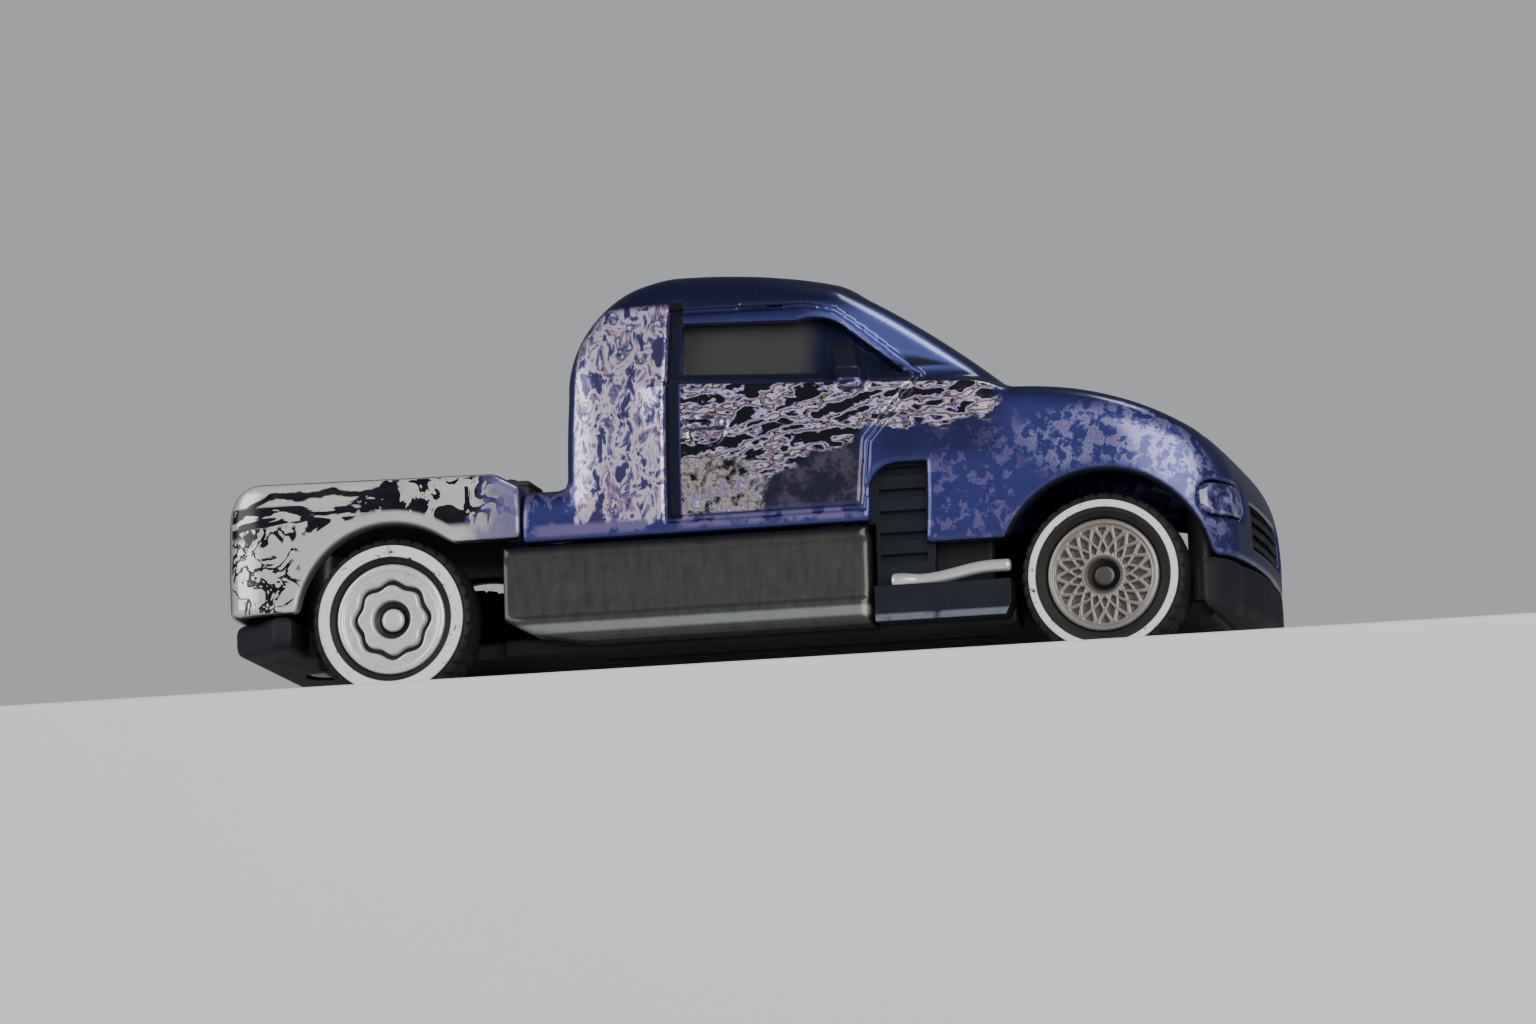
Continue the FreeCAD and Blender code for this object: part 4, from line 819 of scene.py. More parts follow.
# Boxes of what is cut from the cab or stands on it, as lowest and highest corners. Cuts run on past
# the surface. The box of a thing that is on both sides is that of the left one.
WINDSCREEN = (10, -10, SCREEN_LOW), (19.8, 10, 40)
REAR_WINDOW = (-15, -7.5, 21.5), (-7, 7.5, 27.5)
DOOR_HANDLE = (-2.5, 14.3, 18.6), (0.5, 15.25, 19.35)
MIRROR = (8.7, 13.5, 20.9), (10.6, 15.3, 24.2)
SIDE_CUT_Y = 9
VENT_CUT_Y = 11.5

# Outlines from the side (X, Z), from above (X, Y) and from the front (Y, Z). They run on past the
# seams, where other fields end the casting.
CAB_SIDE = [
    (SEAM_X - 6, 3),
    (SEAM_X - 6, LEDGE_Z),
    (BACK_X, LEDGE_Z),
    (BACK_X, 22, -9.9, 28.4),
    (-5.2, ROOF_Z - 0.1, 2, ROOF_Z - 0.3),
    (8.6, 29.6, 15, 25.5),
    (21, 20.9, 28.2, 19.8),
    (34, 17.3, NOSE_X - 0.9, 13.4),
    (NOSE_X, 8.6),
    (NOSE_X, 3),
]
CAB_PLAN = [
    (SEAM_X - 9, -9),
    (SEAM_X - 9, HALF_WIDTH),
    (28.5, HALF_WIDTH, 33.7, 14.2),
    (NOSE_X - 1, 10.7, NOSE_X - 0.05, 5.6),
    (NOSE_X + 0.4, 0),
    (NOSE_X + 0.4, -9),
]
DOOR_SECTION = [
    (-9, 0),
    (HALF_WIDTH, 0),
    (HALF_WIDTH, 14, HALF_WIDTH - 0.22, 18),
    (HALF_WIDTH - 0.8, BELT_Z),
    (HALF_WIDTH - 1.6, BELT_Z + 0.3),
    (HALF_WIDTH - 4.4, ROOF_Z),
    (-9, ROOF_Z + 6),
]
REAR_SECTION = [
    (-9, 0),
    (HALF_WIDTH, 0),
    (HALF_WIDTH, 14, HALF_WIDTH - 0.65, 19.5),
    (HALF_WIDTH - 2.1, 24.5),
    (HALF_WIDTH - 4.3, ROOF_Z),
    (-9, ROOF_Z + 6),
]
CAB_LOWER_EDGE = [
    (SEAM_X - 9, 11),
    (14.8, 11),
    (14.8, 9.2),
    (FRONT_AXLE[0], 9.2),
    (FRONT_AXLE[0], 7.3),
    (NOSE_X + 9, 7.3),
    (NOSE_X + 9, 50),
    (SEAM_X - 9, 50),
]
DOOR_GLASS = [(-3.1, 23), (13.7, 22.1), (9.4, 25.6, 8.1, 26.5), (5.5, 26.6), (-3.1, 26.9)]
VENT = [(11, 8), (11, 12.6, 11.7, 14.7), (13.1, 15.2), (15.2, 15.2, 15.2, 12.5), (14.8, 8)]
DOOR_LINE = [
    (-4, 12.1), (10.5, 12.1), (10.9, 17), (14.9, 21.7), (10.2, 25.7), (8.2, 27.3), (6, 27.8), (-4, 27.9),
    (-4, 12.1),
]
HOOD_LINE = [(COWL_X, HOOD_SIDE), (34.8, 10.5), (34.8, 0)]


def cab_body(x, y, z):
    """The cab's rounded outer form, carried on past its lower and rear ends."""
    side = crowned(CAB_SIDE, x, y, z, 0.35, 0.0012)
    plan = outline_field(x, np.abs(y), CAB_PLAN)
    belt_z = z + BELT_FALL * (np.clip(x, -5, 16) - 5)
    door = outline_field(np.abs(y), belt_z, DOOR_SECTION)
    rear = softened(REAR_SECTION, np.abs(y), z, 0.3)
    section = door + (rear - door) * rise(-x, 3.6, 3)
    return smooth_max(smooth_max(side, section, CAB_ROUNDING), plan, CAB_ROUNDING)


def cab_openings(x, y, z):
    """Wheel arch, side windows, vents, windscreen, rear window, headlight and grille openings."""
    wide = np.abs(y)
    return union(
        np.hypot(x - FRONT_AXLE[0], z - FRONT_AXLE[2]) - ARCH_RADIUS,
        overlap(outline_field(x, z, DOOR_GLASS), SIDE_CUT_Y - wide),
        overlap(outline_field(x, z, VENT), VENT_CUT_Y - wide),
        box_field(x, y, z, *WINDSCREEN, 0.8),
        box_field(x, y, z, *REAR_WINDOW, 0.8),
        lamp_space(x, y, z, 0.1),
        grille_space(x, y, z, 0.1),
    )


def cab_grooves(x, y, z, body):
    """Shut lines of the doors and the bonnet, a quarter of a millimetre deep."""
    wide = np.abs(y)
    door = overlap(line_distance(x, z, DOOR_LINE) - GROOVE, SIDE_CUT_Y - wide)
    hood = overlap(line_distance(x, wide, HOOD_LINE) - GROOVE, HOOD_LOW - z)
    cowl = overlap(np.abs(x - COWL_X) - GROOVE, wide - HOOD_SIDE, HOOD_LOW - z)
    return overlap(union(door, hood, cowl), -(body + 0.26))


def lamp_space(x, y, z, grow=0.0):
    """The two headlight openings in the nose."""
    low, high = (34 - grow, 8.6 - grow, 10.3 - grow), (45, 13.1 + grow, 12.7 + grow)
    return box_field(x, np.abs(y), z, low, high, 0.9)


def grille_space(x, y, z, grow=0.0):
    """The grille's opening between the headlights."""
    return box_field(x, y, z, (36 - grow, -6.4 - grow, 8.8 - grow), (45, 6.4 + grow, 11.8 + grow), 0.6)


def cab_field(x, y, z):
    """The hollow casting with its openings, shut lines, door handles and mirrors."""
    body = cab_body(x, y, z)
    wide = np.abs(y)
    shape = smooth_max(body, outline_field(x, z, CAB_LOWER_EDGE), 0.5)
    shape = smooth_max(shape, SEAM_X - x, 0.3)
    shape = cut(shape, overlap(body + WALL, SEAM_X + WALL - x), 0.3)
    shape = cut(shape, cab_openings(x, y, z), 0.45)
    shape = cut(shape, cab_grooves(x, y, z, body), 0.18)
    recess = np.hypot(x + 1.0, (z - 18.5) * 1.2) - 1.25
    shape = cut(shape, overlap(recess, -(body + 0.3)), 0.3)
    shape = smooth_min(shape, box_field(x, wide, z, *DOOR_HANDLE, 0.3), 0.15)
    leaning_x = x + 0.2 * (z - 22.4)
    return smooth_min(shape, box_field(leaning_x, wide, z, *MIRROR, 0.55), 0.5)


def make_cab(material):
    low = (SEAM_X, -HALF_WIDTH, 7)
    stand_in("cab_casting", "cab_shell", cab_field, 0.2, material, "violet_enamel", low=low)


def make_glass(material):
    """One clear moulding just inside the cab's wall."""

    def field(x, y, z):
        body = cab_body(x, y, z)
        sheet = overlap(body + WALL + 0.05, -(body + WALL + GLASS))
        ends = overlap(SCREEN_LOW - z, x - 19.7, BACK_X + 0.4 - x)
        return smooth_max(sheet, ends, 0.15)

    stand_in("glazing", "cab_glass", field, 0.3, material, "smoked_clear")


def make_nose(lamp_material, grille_material):
    """Headlights and slatted grille, shaped by the nose they sit in."""

    def lamps(x, y, z):
        return smooth_max(cab_body(x, y, z) + 0.05, lamp_space(x, y, z), 0.3)

    def grille(x, y, z):
        body = cab_body(x, y, z)
        plate = smooth_max(body + 0.15, grille_space(x, y, z), 0.3)
        pitch, middle = 0.95, 9.6
        slot = np.abs((z - middle + pitch / 2) % pitch - pitch / 2) - 0.24
        return cut(plate, overlap(slot, np.abs(y) - 5.9, -(body + 0.75)), 0.1)

    stand_in("headlights", "nose_lamps", lamps, 0.16, lamp_material, "clear_lens")
    stand_in("grille", "nose_grille", grille, 0.14, grille_material, "black_plastic")


# ---------------------------------------------------------------- the rear bed

BED_WELL = (-36.1, -12.7, 14.3), (-10, 12.7, 40)
TAILGATE = (-60, -7.6, 8.2), (60, 7.6, 14.2)
LATCH = (TAIL_X + 0.05, -1.6, 12.2), (TAIL_X + 1.5, 1.6, 12.9)

# Outlines from the side (X, Z) and from above (X, Y), as for the cab.
BED_SIDE = [
    (SEAM_X + 6, 3),
    (SEAM_X + 6, 15.3),
    (SEAM_X - 0.1, 15.3),
    (SEAM_X - 2.1, RAIL_Z - 0.3),
    (-34.9, RAIL_Z, TAIL_X + 1, 15.5),
    (TAIL_X + 0.25, 13.2),
    (TAIL_X, 10),
    (TAIL_X + 0.5, 3),
]
BED_PLAN = [
    (SEAM_X + 9, -9),
    (SEAM_X + 9, HALF_WIDTH),
    (-34, HALF_WIDTH, -37.2, 14.3),
    (TAIL_X + 0.4, 11.5),
    (TAIL_X - 0.4, 0),
    (TAIL_X - 0.4, -9),
]
BED_LOWER_EDGE = [
    (TAIL_X - 9, 6.9),
    (REAR_AXLE[0], 6.9),
    (REAR_AXLE[0], 11.4),
    (SEAM_X + 9, 11.4),
    (SEAM_X + 9, 50),
    (TAIL_X - 9, 50),
]


def bed_body(x, y, z):
    """The bed's rounded outer form."""
    side = softened(BED_SIDE, x, z, 0.2)
    plan = outline_field(x, np.abs(y), BED_PLAN)
    return smooth_max(smooth_max(side, np.abs(y) - HALF_WIDTH, BED_ROUNDING), plan, BED_ROUNDING)


def tail_lamp_space(x, y, z, grow=0.0):
    """The two tail lamp openings."""
    low, high = (-45, 8.4 - grow, 9.6 - grow), (-36.6 + grow, 12.6 + grow, 11.6 + grow)
    return box_field(x, np.abs(y), z, low, high, 0.4)


def bed_field(x, y, z):
    """The casting, hollow below and with an open well above, with a tailgate and its latch."""
    body = bed_body(x, y, z)
    shape = smooth_max(body, outline_field(x, z, BED_LOWER_EDGE), 0.5)
    shape = smooth_max(shape, x - SEAM_X + 0.1, 0.3)
    cuts = union(
        overlap(body + WALL, z - 13.3, x - SEAM_X + WALL),
        box_field(x, y, z, *BED_WELL, 0.5),
        np.hypot(x - REAR_AXLE[0], z - REAR_AXLE[2] + 0.2) - BED_ARCH_RADIUS,
        tail_lamp_space(x, y, z, 0.1),
    )
    shape = cut(shape, cuts, 0.4)
    gate_line = np.abs(box_field(x, y, z, *TAILGATE, 0.8)) - 0.14
    shape = cut(shape, overlap(gate_line, x + 35, -(body + 0.22)), 0.12)
    return smooth_min(shape, box_field(x, y, z, *LATCH, 0.25), 0.1)


def make_bed(metal, lens):

    def lamps(x, y, z):
        return smooth_max(bed_body(x, y, z) + 0.05, tail_lamp_space(x, y, z), 0.25)

    low, high = (TAIL_X, -HALF_WIDTH, 7), (SEAM_X, HALF_WIDTH, RAIL_Z)
    stand_in("rear_bed", "bed_shell", bed_field, 0.2, metal, "bare_zinc", low=low, high=high)
    stand_in("tail_lights", "tail_lamps", lamps, 0.14, lens, "red_lens")


def make_posts(metal):
    """The castings' rivet posts, with the dimpled heads spun over in the base."""
    for name, (place, underside, seat, top) in POSTS.items():
        low = underside + 0.1

        def field(x, y, z, place=place, low=low, seat=seat, top=top):
            reach = np.hypot(x - place, y)
            head = smooth_max(reach - 1.4, between(z, low, low + 0.5), 0.4)
            dimple = np.sqrt(reach**2 + (z - low + 0.4) ** 2) - 0.75
            neck = overlap(reach - 0.88, between(z, low, seat))
            post = overlap(reach - 1.3, between(z, seat, top))
            return union(cut(head, dimple, 0.2), neck, post)

        corners = (place - 1.5, -1.5, low), (place + 1.5, 1.5, top)
        mesh_field(f"{name}_rivet", field, *corners, 0.16, "truck", metal, "bare_zinc")


# ---------------------------------------------------------------- wheels

TREAD_LUGS = 36
FACE_STEPS = 288
SHOULDER = 0.7
LACE_DISH = 0.62
BOSS_DISH = 1.1
RING_OUTER = 5.46


def tyre_profile():
    """Closed section of a tyre as (radius, depth): rounded shoulders and a raised ring."""
    shoulder = np.linspace(0, math.pi / 2, 7)
    middle = TYRE_RADIUS - SHOULDER
    outer = [(middle + SHOULDER * math.sin(a), SHOULDER - 0.55 * math.cos(a)) for a in shoulder]
    tread = [(TYRE_RADIUS, depth) for depth in np.linspace(0.8, TYRE_WIDTH - 0.8, 22)]
    inner = [
        (middle + SHOULDER * math.cos(a), TYRE_WIDTH - SHOULDER + SHOULDER * math.sin(a)) for a in shoulder
    ]
    face = [
        (RIM_RADIUS - 0.02, 0.45), (RIM_RADIUS + 0.12, 0.22), (4.3, 0.14), (4.45, 0.14), (4.53, 0.03),
        (4.62, 0.0), (5.35, 0.0), (5.45, 0.04), (5.5, 0.15),
    ]
    back = [(RIM_RADIUS + 0.3, TYRE_WIDTH), (RIM_RADIUS - 0.02, TYRE_WIDTH - 0.3)]
    return face + outer[1:] + tread + inner + back


def tread_relief(radius, depth, angle):
    """Cuts slanting lugs and two ring grooves into the tyre's running surface."""
    on_tread = np.clip((radius - (TYRE_RADIUS - 0.3)) / 0.25, 0, 1)
    off_middle = np.abs(depth - TYRE_WIDTH / 2)
    groove = 0.62
    lugs = np.clip((np.cos(angle * TREAD_LUGS + 2.4 * off_middle) - 0.72) * 8, 0, 1)
    lugs = lugs * np.clip((off_middle - groove) * 5, 0, 1)
    rings = np.clip(1 - np.abs(off_middle - groove) / 0.16, 0, 1)
    return radius - 0.22 * np.maximum(lugs, rings * 0.9) * on_tread, depth


def rim_profile(dish, lip_width, hub_depth):
    """Closed section: lip, dished face, hub with its recess, and the hollow back."""
    outer = RIM_RADIUS - 0.03
    lip = RIM_RADIUS - lip_width
    hollow = RIM_RADIUS - 0.5
    edge = [(outer, 4.3), (outer, 0.3), (RIM_RADIUS - 0.1, 0.16), (RIM_RADIUS - 0.25, 0.12)]
    edge += [(lip + 0.05, 0.12), (lip, 0.17), (lip - 0.06, 0.4)]
    face = [(radius, dish) for radius in np.linspace(lip - 0.12, 1.24, 34)]
    hub = [(1.17, hub_depth), (1.12, 1.14), (0.66, 1.14), (0.66, 2.4), (1.4, 2.4)]
    return edge + face + hub + [(hollow, 2.3), (hollow, 4.3)]


def raised_face(radius, depth, dish, height):
    """Raises the points of the dished face by height, and leaves the rest of the section alone."""
    on_face = (np.abs(depth - dish) < 1e-6) & (radius > 1.2)
    return radius, np.where(on_face, dish - height, depth)


def lace_relief(radius, depth, angle):
    """Front wheel: two sets of fine spokes that cross."""
    count, twist = 18, 0.55 * np.log(np.maximum(radius, 0.3))
    waves = np.maximum(np.cos(count * (angle + twist)), np.cos(count * (angle - twist)))
    rings = np.maximum(rise(-radius, -1.75, 0.2), rise(radius, RIM_RADIUS - 0.75, 0.2))
    return raised_face(radius, depth, LACE_DISH, 0.34 * np.maximum(rise(waves, 0.3, 0.4), rings))


def boss_relief(radius, depth, angle):
    """Rear wheel: a raised ring with eight rounded lobes, a groove round it, and a hub well inside."""
    lobes = 0.13 * np.cos(8 * angle)
    ring = rise(2.55 + lobes - radius, 0, 0.2) * rise(radius, 1.3, 0.2)
    height = 0.85 * ring + 0.8 * rise(radius, 2.75 + lobes, 0.2) + 0.1 * rise(-radius, -1.3, 0.1)
    return raised_face(radius, depth, BOSS_DISH, height)


def make_wheels():
    # Each rim's second colour is the painted shade of its recesses.
    lace = rim_plate("front", FRONT_AXLE, (0.30, 0.275, 0.25), (0.075, 0.068, 0.062), 0.38, 0.6)
    boss = rim_plate("rear", REAR_AXLE, (0.86, 0.85, 0.83), (0.03, 0.03, 0.03), 0.75, 1.0)
    ends = {
        "front": (FRONT_AXLE, rim_profile(LACE_DISH, 0.38, 0.5), lace_relief, lace, "rim_grey", 4.95),
        "rear": (REAR_AXLE, rim_profile(BOSS_DISH, 0.5, 1.0), boss_relief, boss, "rim_chrome", 4.62),
    }
    for end, (axle, profile, relief, plate, slot, ring_inner) in ends.items():
        rubber = tyre_rubber(end, axle, ring_inner, RING_OUTER)
        parts = [
            ("rubber", "tyre", tyre_profile(), rubber, "tyre_rubber", tread_relief),
            ("hub", "rim", profile, plate, slot, relief),
        ]
        for side, sign in SIDES:
            wheel = f"{end}_{side}"
            for name, node, section, material, finish, shaping in parts:
                piece = turned(
                    f"{wheel}_{name}", section, axle, sign, f"{wheel}_wheel", material, finish, shaping
                )
                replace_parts(piece, f"{wheel}_{node}")


# ---------------------------------------------------------------- skirts and side pipes


def make_skirts(material):
    """Side tanks with rounded edges, a recessed panel, a rolled lower lip and a hollow back."""
    inner_y, outer_y = 11.5, 15.1
    for side, sign in SIDES:
        low, high = box_mm(f"{side}_skirt")
        outer = [
            (low[0] + 0.35, 5.4),
            (low[0] + 2.4, 4.3),
            (low[0] + 6.2, low[2]),
            (high[0], low[2]),
            (high[0], high[2]),
            (low[0] + 0.35, high[2]),
        ]
        panel = (low[0] - 3, outer_y - 0.25, 5.3), (high[0] + 3, 20, high[2] - 0.9)

        def field(x, y, z, outer=outer, panel=panel, sign=sign):
            wide = y * sign
            block = np.maximum(wide - outer_y, inner_y - wide)
            shape = smooth_max(outline_field(x, z, outer), block, 0.7)
            shape = cut(shape, box_field(x, wide, z, *panel, 0.5), 0.2)
            return cut(shape, box_field(x, wide, z, (-15, 5, 4.6), (9.8, 13.9, 9.8), 0.3), 0.3)

        ends = sorted((sign * inner_y, sign * outer_y))
        box_low, box_high = (low[0], ends[0], low[2]), (high[0], ends[1], high[2])
        stand_in(
            f"{side}_skirt", f"{side}_tank", field, 0.2, material, "skirt_plastic", low=box_low, high=box_high
        )


def make_pipes(material):
    """A side pipe over each step: a gentle S with a flared, open rear end."""
    for side, _ in SIDES:
        low, high = box_mm(f"{side}_pipe")

        def field(x, y, z, low=low, high=high):
            length = high[0] - low[0]
            start, span = low[0] + 0.25 * length, 0.6 * length
            lift = high[2] - low[2] - 0.84
            part = np.clip((x - start) / span, 0, 1)
            slope = lift * 6 * part * (1 - part) / span
            line_z = low[2] + 0.3 + lift * rise(x, start, span)
            reach = np.hypot((z - line_z) / np.sqrt(1 + slope**2), y - (low[1] + high[1]) / 2)
            tube = reach - 0.46 - 0.14 * rise(-x, -low[0] - 2.2, 1.6)
            tube = smooth_max(tube, between(x, low[0], high[0]), 0.3)
            return cut(tube, overlap(reach - 0.36, x - low[0] - 0.9), 0.12)

        room = np.array((0.3, 0.3, 0.5))
        stand_in(
            f"{side}_pipe", f"{side}_side_pipe", field, 0.12, material, "pipe_chrome",
            low=low - room, high=high + room,
        )


# ---------------------------------------------------------------- chassis base

DAM_TOP = 7.2
BEARING_TOP = 7.3
BEARING_Y = 10.2

# Outlines from above (X, Y).
PAN_PLAN = [
    (-32, -9), (-32, BEARING_Y), (-17.4, BEARING_Y), (-17.4, 11.4), (11, 11.4), (11, 12.8), (21.2, 12.8),
    (21.2, BEARING_Y), (35.2, BEARING_Y), (35.2, -9),
]
TAIL_PLAN = [
    (TAIL_X + 0.6, -9), (TAIL_X + 0.6, 11.4), (-34, 14.9), (-32.6, 14.9), (-32.6, BEARING_Y),
    (-31.8, BEARING_Y), (-31.8, -9),
]
DAM_PLAN = [
    (35, -9), (35, 14, 36.6, 12.3), (NOSE_X - 1.1, 9, NOSE_X - 0.35, 4.6), (NOSE_X - 0.2, 0),
    (NOSE_X - 0.2, -9),
]


def slab(x, y, z, plan, low, high, rounding):
    """A flat block with a given plan and rounded edges."""
    return smooth_max(outline_field(x, np.abs(y), plan), between(z, low, high), rounding)


def base_field(x, y, z):
    """Floor pan, tail block and front air dam in one moulding, with snap-in bearings for the axles,
    low walls behind the side parts, sinks for the rivet heads and a moulded channel underneath."""
    wide = np.abs(y)
    pan = slab(x, y, z, PAN_PLAN, BASE_LOW[2], PAN_TOP, 0.3)
    tail = slab(x, y, z, TAIL_PLAN, TAIL_BLOCK_LOW, TAIL_BLOCK_TOP, 0.9)
    dam = slab(x, y, z, DAM_PLAN, BASE_LOW[2] + 0.1, DAM_TOP, 0.9)
    shape = union(smooth_min(pan, tail, 0.3), dam)
    root = PAN_TOP - 1
    for middle, _, height in (FRONT_AXLE, REAR_AXLE):
        bearing = box_field(x, wide, z, (middle - 1.7, 7, root), (middle + 1.7, BEARING_Y, BEARING_TOP), 0.2)
        bore = np.hypot(x - middle, z - height) - 0.68
        mouth = overlap(np.abs(x - middle) - 0.5, height - z)
        shape = cut(union(shape, bearing), union(bore, mouth), 0.1)
    walls = [((-9, 10.4, root), (9.6, 11.4, 9)), ((14.3, 11.8, root), (19.6, 12.8, 10.6))]
    for low, high in walls:
        shape = union(shape, box_field(x, wide, z, low, high, 0.15))
    for place, underside, _, _ in POSTS.values():
        reach = np.hypot(x - place, y)
        sink = overlap(reach - 1.65, z - underside - 0.7)
        shape = cut(shape, union(reach - 1.0, sink), 0.2)
    channel = union(np.abs(wide - 7.2) - 0.4, wide - 0.8)
    channel = overlap(channel, between(x, -10.5, 19), z - BASE_LOW[2] - 0.35)
    return cut(shape, channel, 0.15)


def make_base(material):
    stand_in("chassis_base", "floor_base", base_field, 0.2, material, "black_plastic")


# ---------------------------------------------------------------- tow gear


def tread_plate(x, y, z, floor):
    """The deck's plate, with raised lozenges that lie crosswise by turns."""
    plate = box_field(x, y, z, DECK_LOW, (DECK_HIGH[0], DECK_HIGH[1], floor), 0.1)
    pitch = 1.5
    u, v = (x + y) / math.sqrt(2), (x - y) / math.sqrt(2)
    flip = (np.floor(u / pitch) + np.floor(v / pitch)) % 2 == 0
    across, along = (u % pitch) - pitch / 2, (v % pitch) - pitch / 2
    long_side, short_side = np.where(flip, across, along), np.where(flip, along, across)
    lozenge = np.sqrt((long_side / 0.58) ** 2 + (short_side / 0.2) ** 2) - 1
    raised = overlap(lozenge * 0.2, z - floor - 0.13)
    inset = overlap(np.abs(y) - 12.2, DECK_LOW[0] + 0.5 - x, floor - 0.3 - z)
    return smooth_min(plate, smooth_max(raised, inset, 0.05), 0.08)


def deck_field(x, y, z):
    """Tread plate, two tool lockers with a line under their lids, and the boom's cheeks."""
    wide = np.abs(y)
    floor = DECK_LOW[2] + 0.7
    locker = box_field(x, wide, z, (-20.6, 6, floor - 0.3), (DECK_HIGH[0] - 0.2, 10.4, floor + 1.5), 0.3)
    lid_line = overlap(np.abs(z - floor - 1.0) - 0.07, -(locker + 0.12))
    pivot_x, pivot_z = BOOM_PIVOT[0], BOOM_PIVOT[2]
    side = [
        (pivot_x - 2.2, floor - 0.2),
        (pivot_x - 1.2, pivot_z - 0.2, pivot_x, pivot_z + 1.1),
        (pivot_x + 1.2, pivot_z - 0.2),
        (pivot_x + 2.2, floor - 0.2),
    ]
    cheek = smooth_max(outline_field(x, z, side), np.abs(wide - 4.0) - 0.5, 0.25)
    return union(tread_plate(x, y, z, floor), cut(locker, lid_line, 0.08), cheek)


def boom_field(x, y, z):
    """A-shaped boom with rounded flanges, a pivot barrel and a forked tip."""
    pivot_x, pivot_z = BOOM_PIVOT[0], BOOM_PIVOT[2]
    pin_x, pin_z = HOOK_PIN[0], HOOK_PIN[2]
    wide, height = np.abs(y), np.abs(z - pivot_z)
    root, root_x, tip, tip_x = 3.3, -20.6, 1.3, -31
    outer = outline_field(x, wide, [
        (pivot_x + 0.1, -9), (pivot_x + 0.1, root), (root_x, root), (-27, tip), (tip_x, tip), (tip_x, -9),
    ])
    window = outline_field(x, wide, [(root_x, -9), (root_x, 2.3), (-26, 0.5), (-26, -9)])
    arms = cut(smooth_max(outer, height - 0.88, 0.35), window, 0.3)
    flange = np.abs(outer + 0.5) - 0.28
    web = overlap(-flange, outer + 0.25, 0.62 - height, x + 19.5)
    arms = cut(arms, web, 0.1)
    barrel = smooth_max(np.hypot(x - pivot_x, z - pivot_z) - 1.12, wide - 3.38, 0.3)
    shape = smooth_min(arms, barrel, 0.4)
    rounded_tip = np.where(x < pin_x, np.hypot(x - pin_x, z - pin_z) - 0.95, -1)
    shape = smooth_max(shape, rounded_tip, 0.15)
    return cut(shape, box_field(x, y, z, (-40, -0.6, 0), (pin_x + 2.2, 0.6, 40), 0.1), 0.15)


def hook_field(x, y, z):
    """A forged hook: eye, tapering shank and a curled bowl with a pointed tip."""
    pin_x, pin_z = HOOK_PIN[0], HOOK_PIN[2]
    bowl_x, bowl_z, bowl_radius = pin_x - 3.6, pin_z - 0.1, 0.95
    eye = np.sqrt((np.hypot(x - pin_x, z - pin_z) - 0.66) ** 2 + y**2) - 0.2
    eye = smooth_max(eye, np.abs(y) - 0.4, 0.1)
    # The angle round the bowl is 0 at its far end and grows upwards, to the mouth.
    angle = np.arctan2(z - bowl_z, bowl_x - x)
    thick = 0.34 - 0.10 * np.clip((angle + 0.6) / 1.9, 0, 1)
    curl = np.sqrt((np.hypot(x - bowl_x, z - bowl_z) - bowl_radius) ** 2 + y**2) - thick
    point = np.where(angle > 1.15, 0.3 * (angle - 1.15), -1) * (np.abs(angle) < 2.4)
    curl = smooth_max(curl, point, 0.1)
    mouth = (angle > 1.3) & (angle < 2.6)
    curl = np.where(mouth, np.maximum(curl, 0.1), curl)
    shank = segment_distance(x, z, (bowl_x + 0.9, bowl_z), (pin_x - 0.6, pin_z))
    shank = np.sqrt(shank**2 + y**2) - 0.34
    return smooth_min(smooth_min(curl, shank, 0.15), eye, 0.2)


def make_tow_gear(deck_material, boom_material, steel):
    stand_in("tow_deck", "tread_deck", deck_field, 0.13, deck_material, "deck_plastic")
    stand_in("tow_boom", "lift_boom", boom_field, 0.1, boom_material, "boom_metal", "boom")
    stand_in("tow_hook", "curled_hook", hook_field, 0.07, steel, "steel_wire", "hook")


# ---------------------------------------------------------------- carried CAD pieces


def dress(nodes, material):
    """Gives kept CAD nodes a material of their own."""
    for name in nodes:
        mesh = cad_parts[name].data
        mesh.materials.clear()
        mesh.materials.append(material)


# ---------------------------------------------------------------- stage, light and camera


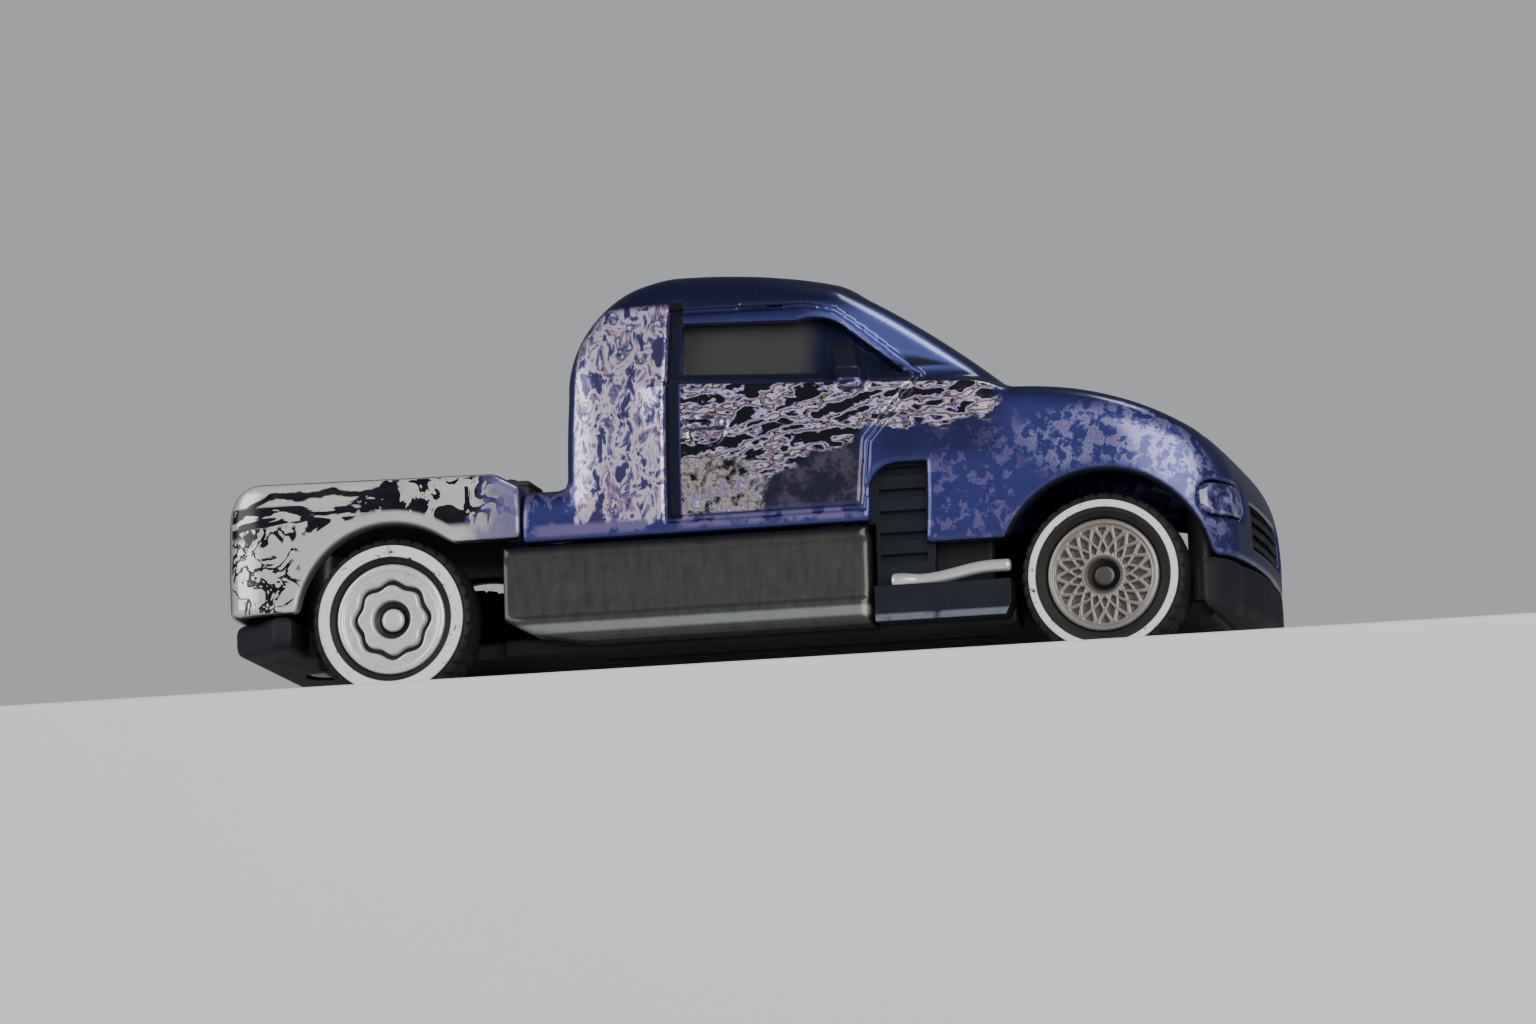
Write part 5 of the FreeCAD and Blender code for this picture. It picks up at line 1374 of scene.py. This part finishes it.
def make_plinth():
    """A pale plinth whose front edge is close to the truck."""
    edges = (-0.6, 0.6), (-HALF_WIDTH * MM - 0.009, 0.7), (-0.5, 0)
    corners = [(x, y, z) for x in edges[0] for y in edges[1] for z in edges[2]]
    faces = [(0, 1, 3, 2), (4, 6, 7, 5), (0, 4, 5, 1), (2, 3, 7, 6), (0, 2, 6, 4), (1, 5, 7, 3)]
    mesh = bpy.data.meshes.new("plinth")
    mesh.from_pydata(corners, [], faces)
    plinth = bpy.data.objects.new("plinth", mesh)
    bpy.context.scene.collection.objects.link(plinth)
    bevel = plinth.modifiers.new("edge", "BEVEL")
    bevel.width = 0.0006
    bevel.segments = 4
    g = Graph("pale_paint", Roughness=0.6)
    g.set(Base_Color=g.mix(g.noise(0.02, 3), (0.72, 0.72, 0.71), (0.78, 0.78, 0.77)))
    g.bump(g.noise(0.8, 3), 0.1, 0.05)
    mesh.materials.append(g.material)
    plinth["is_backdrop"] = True


def make_world():
    """A pale backdrop for the camera. Reflections see a room that is pale below and dark above."""
    world = bpy.data.worlds.new("studio")
    bpy.context.scene.world = world
    world.use_nodes = True
    sky = Nodes(world.node_tree)
    where = sky.add("ShaderNodeTexCoord").outputs["Generated"]
    up = sky.add("ShaderNodeSeparateXYZ", Vector=where).outputs["Z"]
    stops = [(0.42, (0.42, 0.42, 0.43)), (0.56, (0.085, 0.09, 0.105))]
    room = sky.ramp(sky.math("MULTIPLY_ADD", up, 0.5, 0.5), stops, "LINEAR")
    seen = sky.add("ShaderNodeLightPath").outputs["Is Camera Ray"]
    shown = sky.mix(seen, room, (0.40, 0.41, 0.43))
    sky.put(world.node_tree.nodes["Background"].inputs["Color"], shown)


def add_light(name, place, size, power, colour=(1, 1, 1)):
    """A soft light aimed at the middle of the truck."""
    lamp = bpy.data.lights.new(name, "AREA")
    lamp.shape = "RECTANGLE"
    lamp.size, lamp.size_y = size
    lamp.energy = power
    lamp.color = colour
    holder = bpy.data.objects.new(name, lamp)
    holder.location = place
    holder.rotation_euler = (Vector((0, 0, 0.014)) - Vector(place)).to_track_quat("-Z", "Y").to_euler()
    bpy.context.scene.collection.objects.link(holder)


def make_lights():
    add_light("key", (0.30, -0.42, 0.16), (0.6, 0.45), 3.1, (1.0, 0.98, 0.95))
    add_light("fill", (-0.42, -0.30, 0.20), (0.5, 0.4), 1.8, (0.94, 0.96, 1.0))
    add_light("top", (0.11, 0.02, 0.5), (0.12, 0.12), 0.3)


def make_camera(azimuth=12, elevation=-9.5, distance=0.58, lens=182, roll=1.7):
    """A long lens from a little below the truck and a little ahead of its middle, tipped slightly."""
    turn, lift = math.radians(azimuth), math.radians(elevation)
    aim = Vector((0.0003, 0, 0.0147))
    back = Vector((math.sin(turn) * math.cos(lift), -math.cos(turn) * math.cos(lift), math.sin(lift)))
    data = bpy.data.cameras.new("camera")
    data.lens = lens
    data.clip_start = 0.01
    camera = bpy.data.objects.new("camera", data)
    camera.location = aim + back * distance
    level = (-back).to_track_quat("-Z", "Y")
    camera.rotation_euler = (level @ Quaternion((0, 0, 1), math.radians(-roll))).to_euler()
    bpy.context.scene.collection.objects.link(camera)
    bpy.context.scene.camera = camera


# ---------------------------------------------------------------- everything together

enamel = violet_enamel()
zinc = bare_zinc()
black = moulded("black_plastic", (0.010, 0.010, 0.014), 0.5)
steel = bright_metal("steel_wire", (0.62, 0.62, 0.63), 0.28, radius=0.05)

make_cab(enamel)
make_glass(smoked_plastic())
make_nose(lamp_lens(), black)
make_bed(zinc, red_lens())
make_posts(bright_metal("spun_zinc", (0.55, 0.55, 0.54), 0.35, metallic=0.7))
make_wheels()
make_skirts(skirt_plastic())
make_pipes(bright_metal("pipe_chrome", (0.88, 0.88, 0.88), 0.2, metallic=0.6))
make_tow_gear(
    moulded("deck_plastic", (0.03, 0.03, 0.032), 0.42, radius=0),
    bright_metal("boom_metal", (0.30, 0.30, 0.31), 0.35),
    steel,
)
make_base(black)
dress(["right_step", "left_step"], step_plastic())
dress(["cabin_tub", "steering_wheel"], moulded("cabin_plastic", (0.035, 0.035, 0.045), 0.55, radius=0.3))
dress(["front_axle"], bright_metal("dull_wire", (0.10, 0.10, 0.10), 0.4, radius=0.05))
dress(["rear_axle"], bright_metal("bright_wire", (0.85, 0.84, 0.82), 0.3, radius=0.05, metallic=0.4))
dress(["boom_pin", "hook_pin"], steel)
make_plinth()
make_world()
make_lights()
make_camera()

boxes = {"cad_box": cad_box, "visual_box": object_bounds()}
{name: [list(corner) for corner in box] for name, box in boxes.items()}
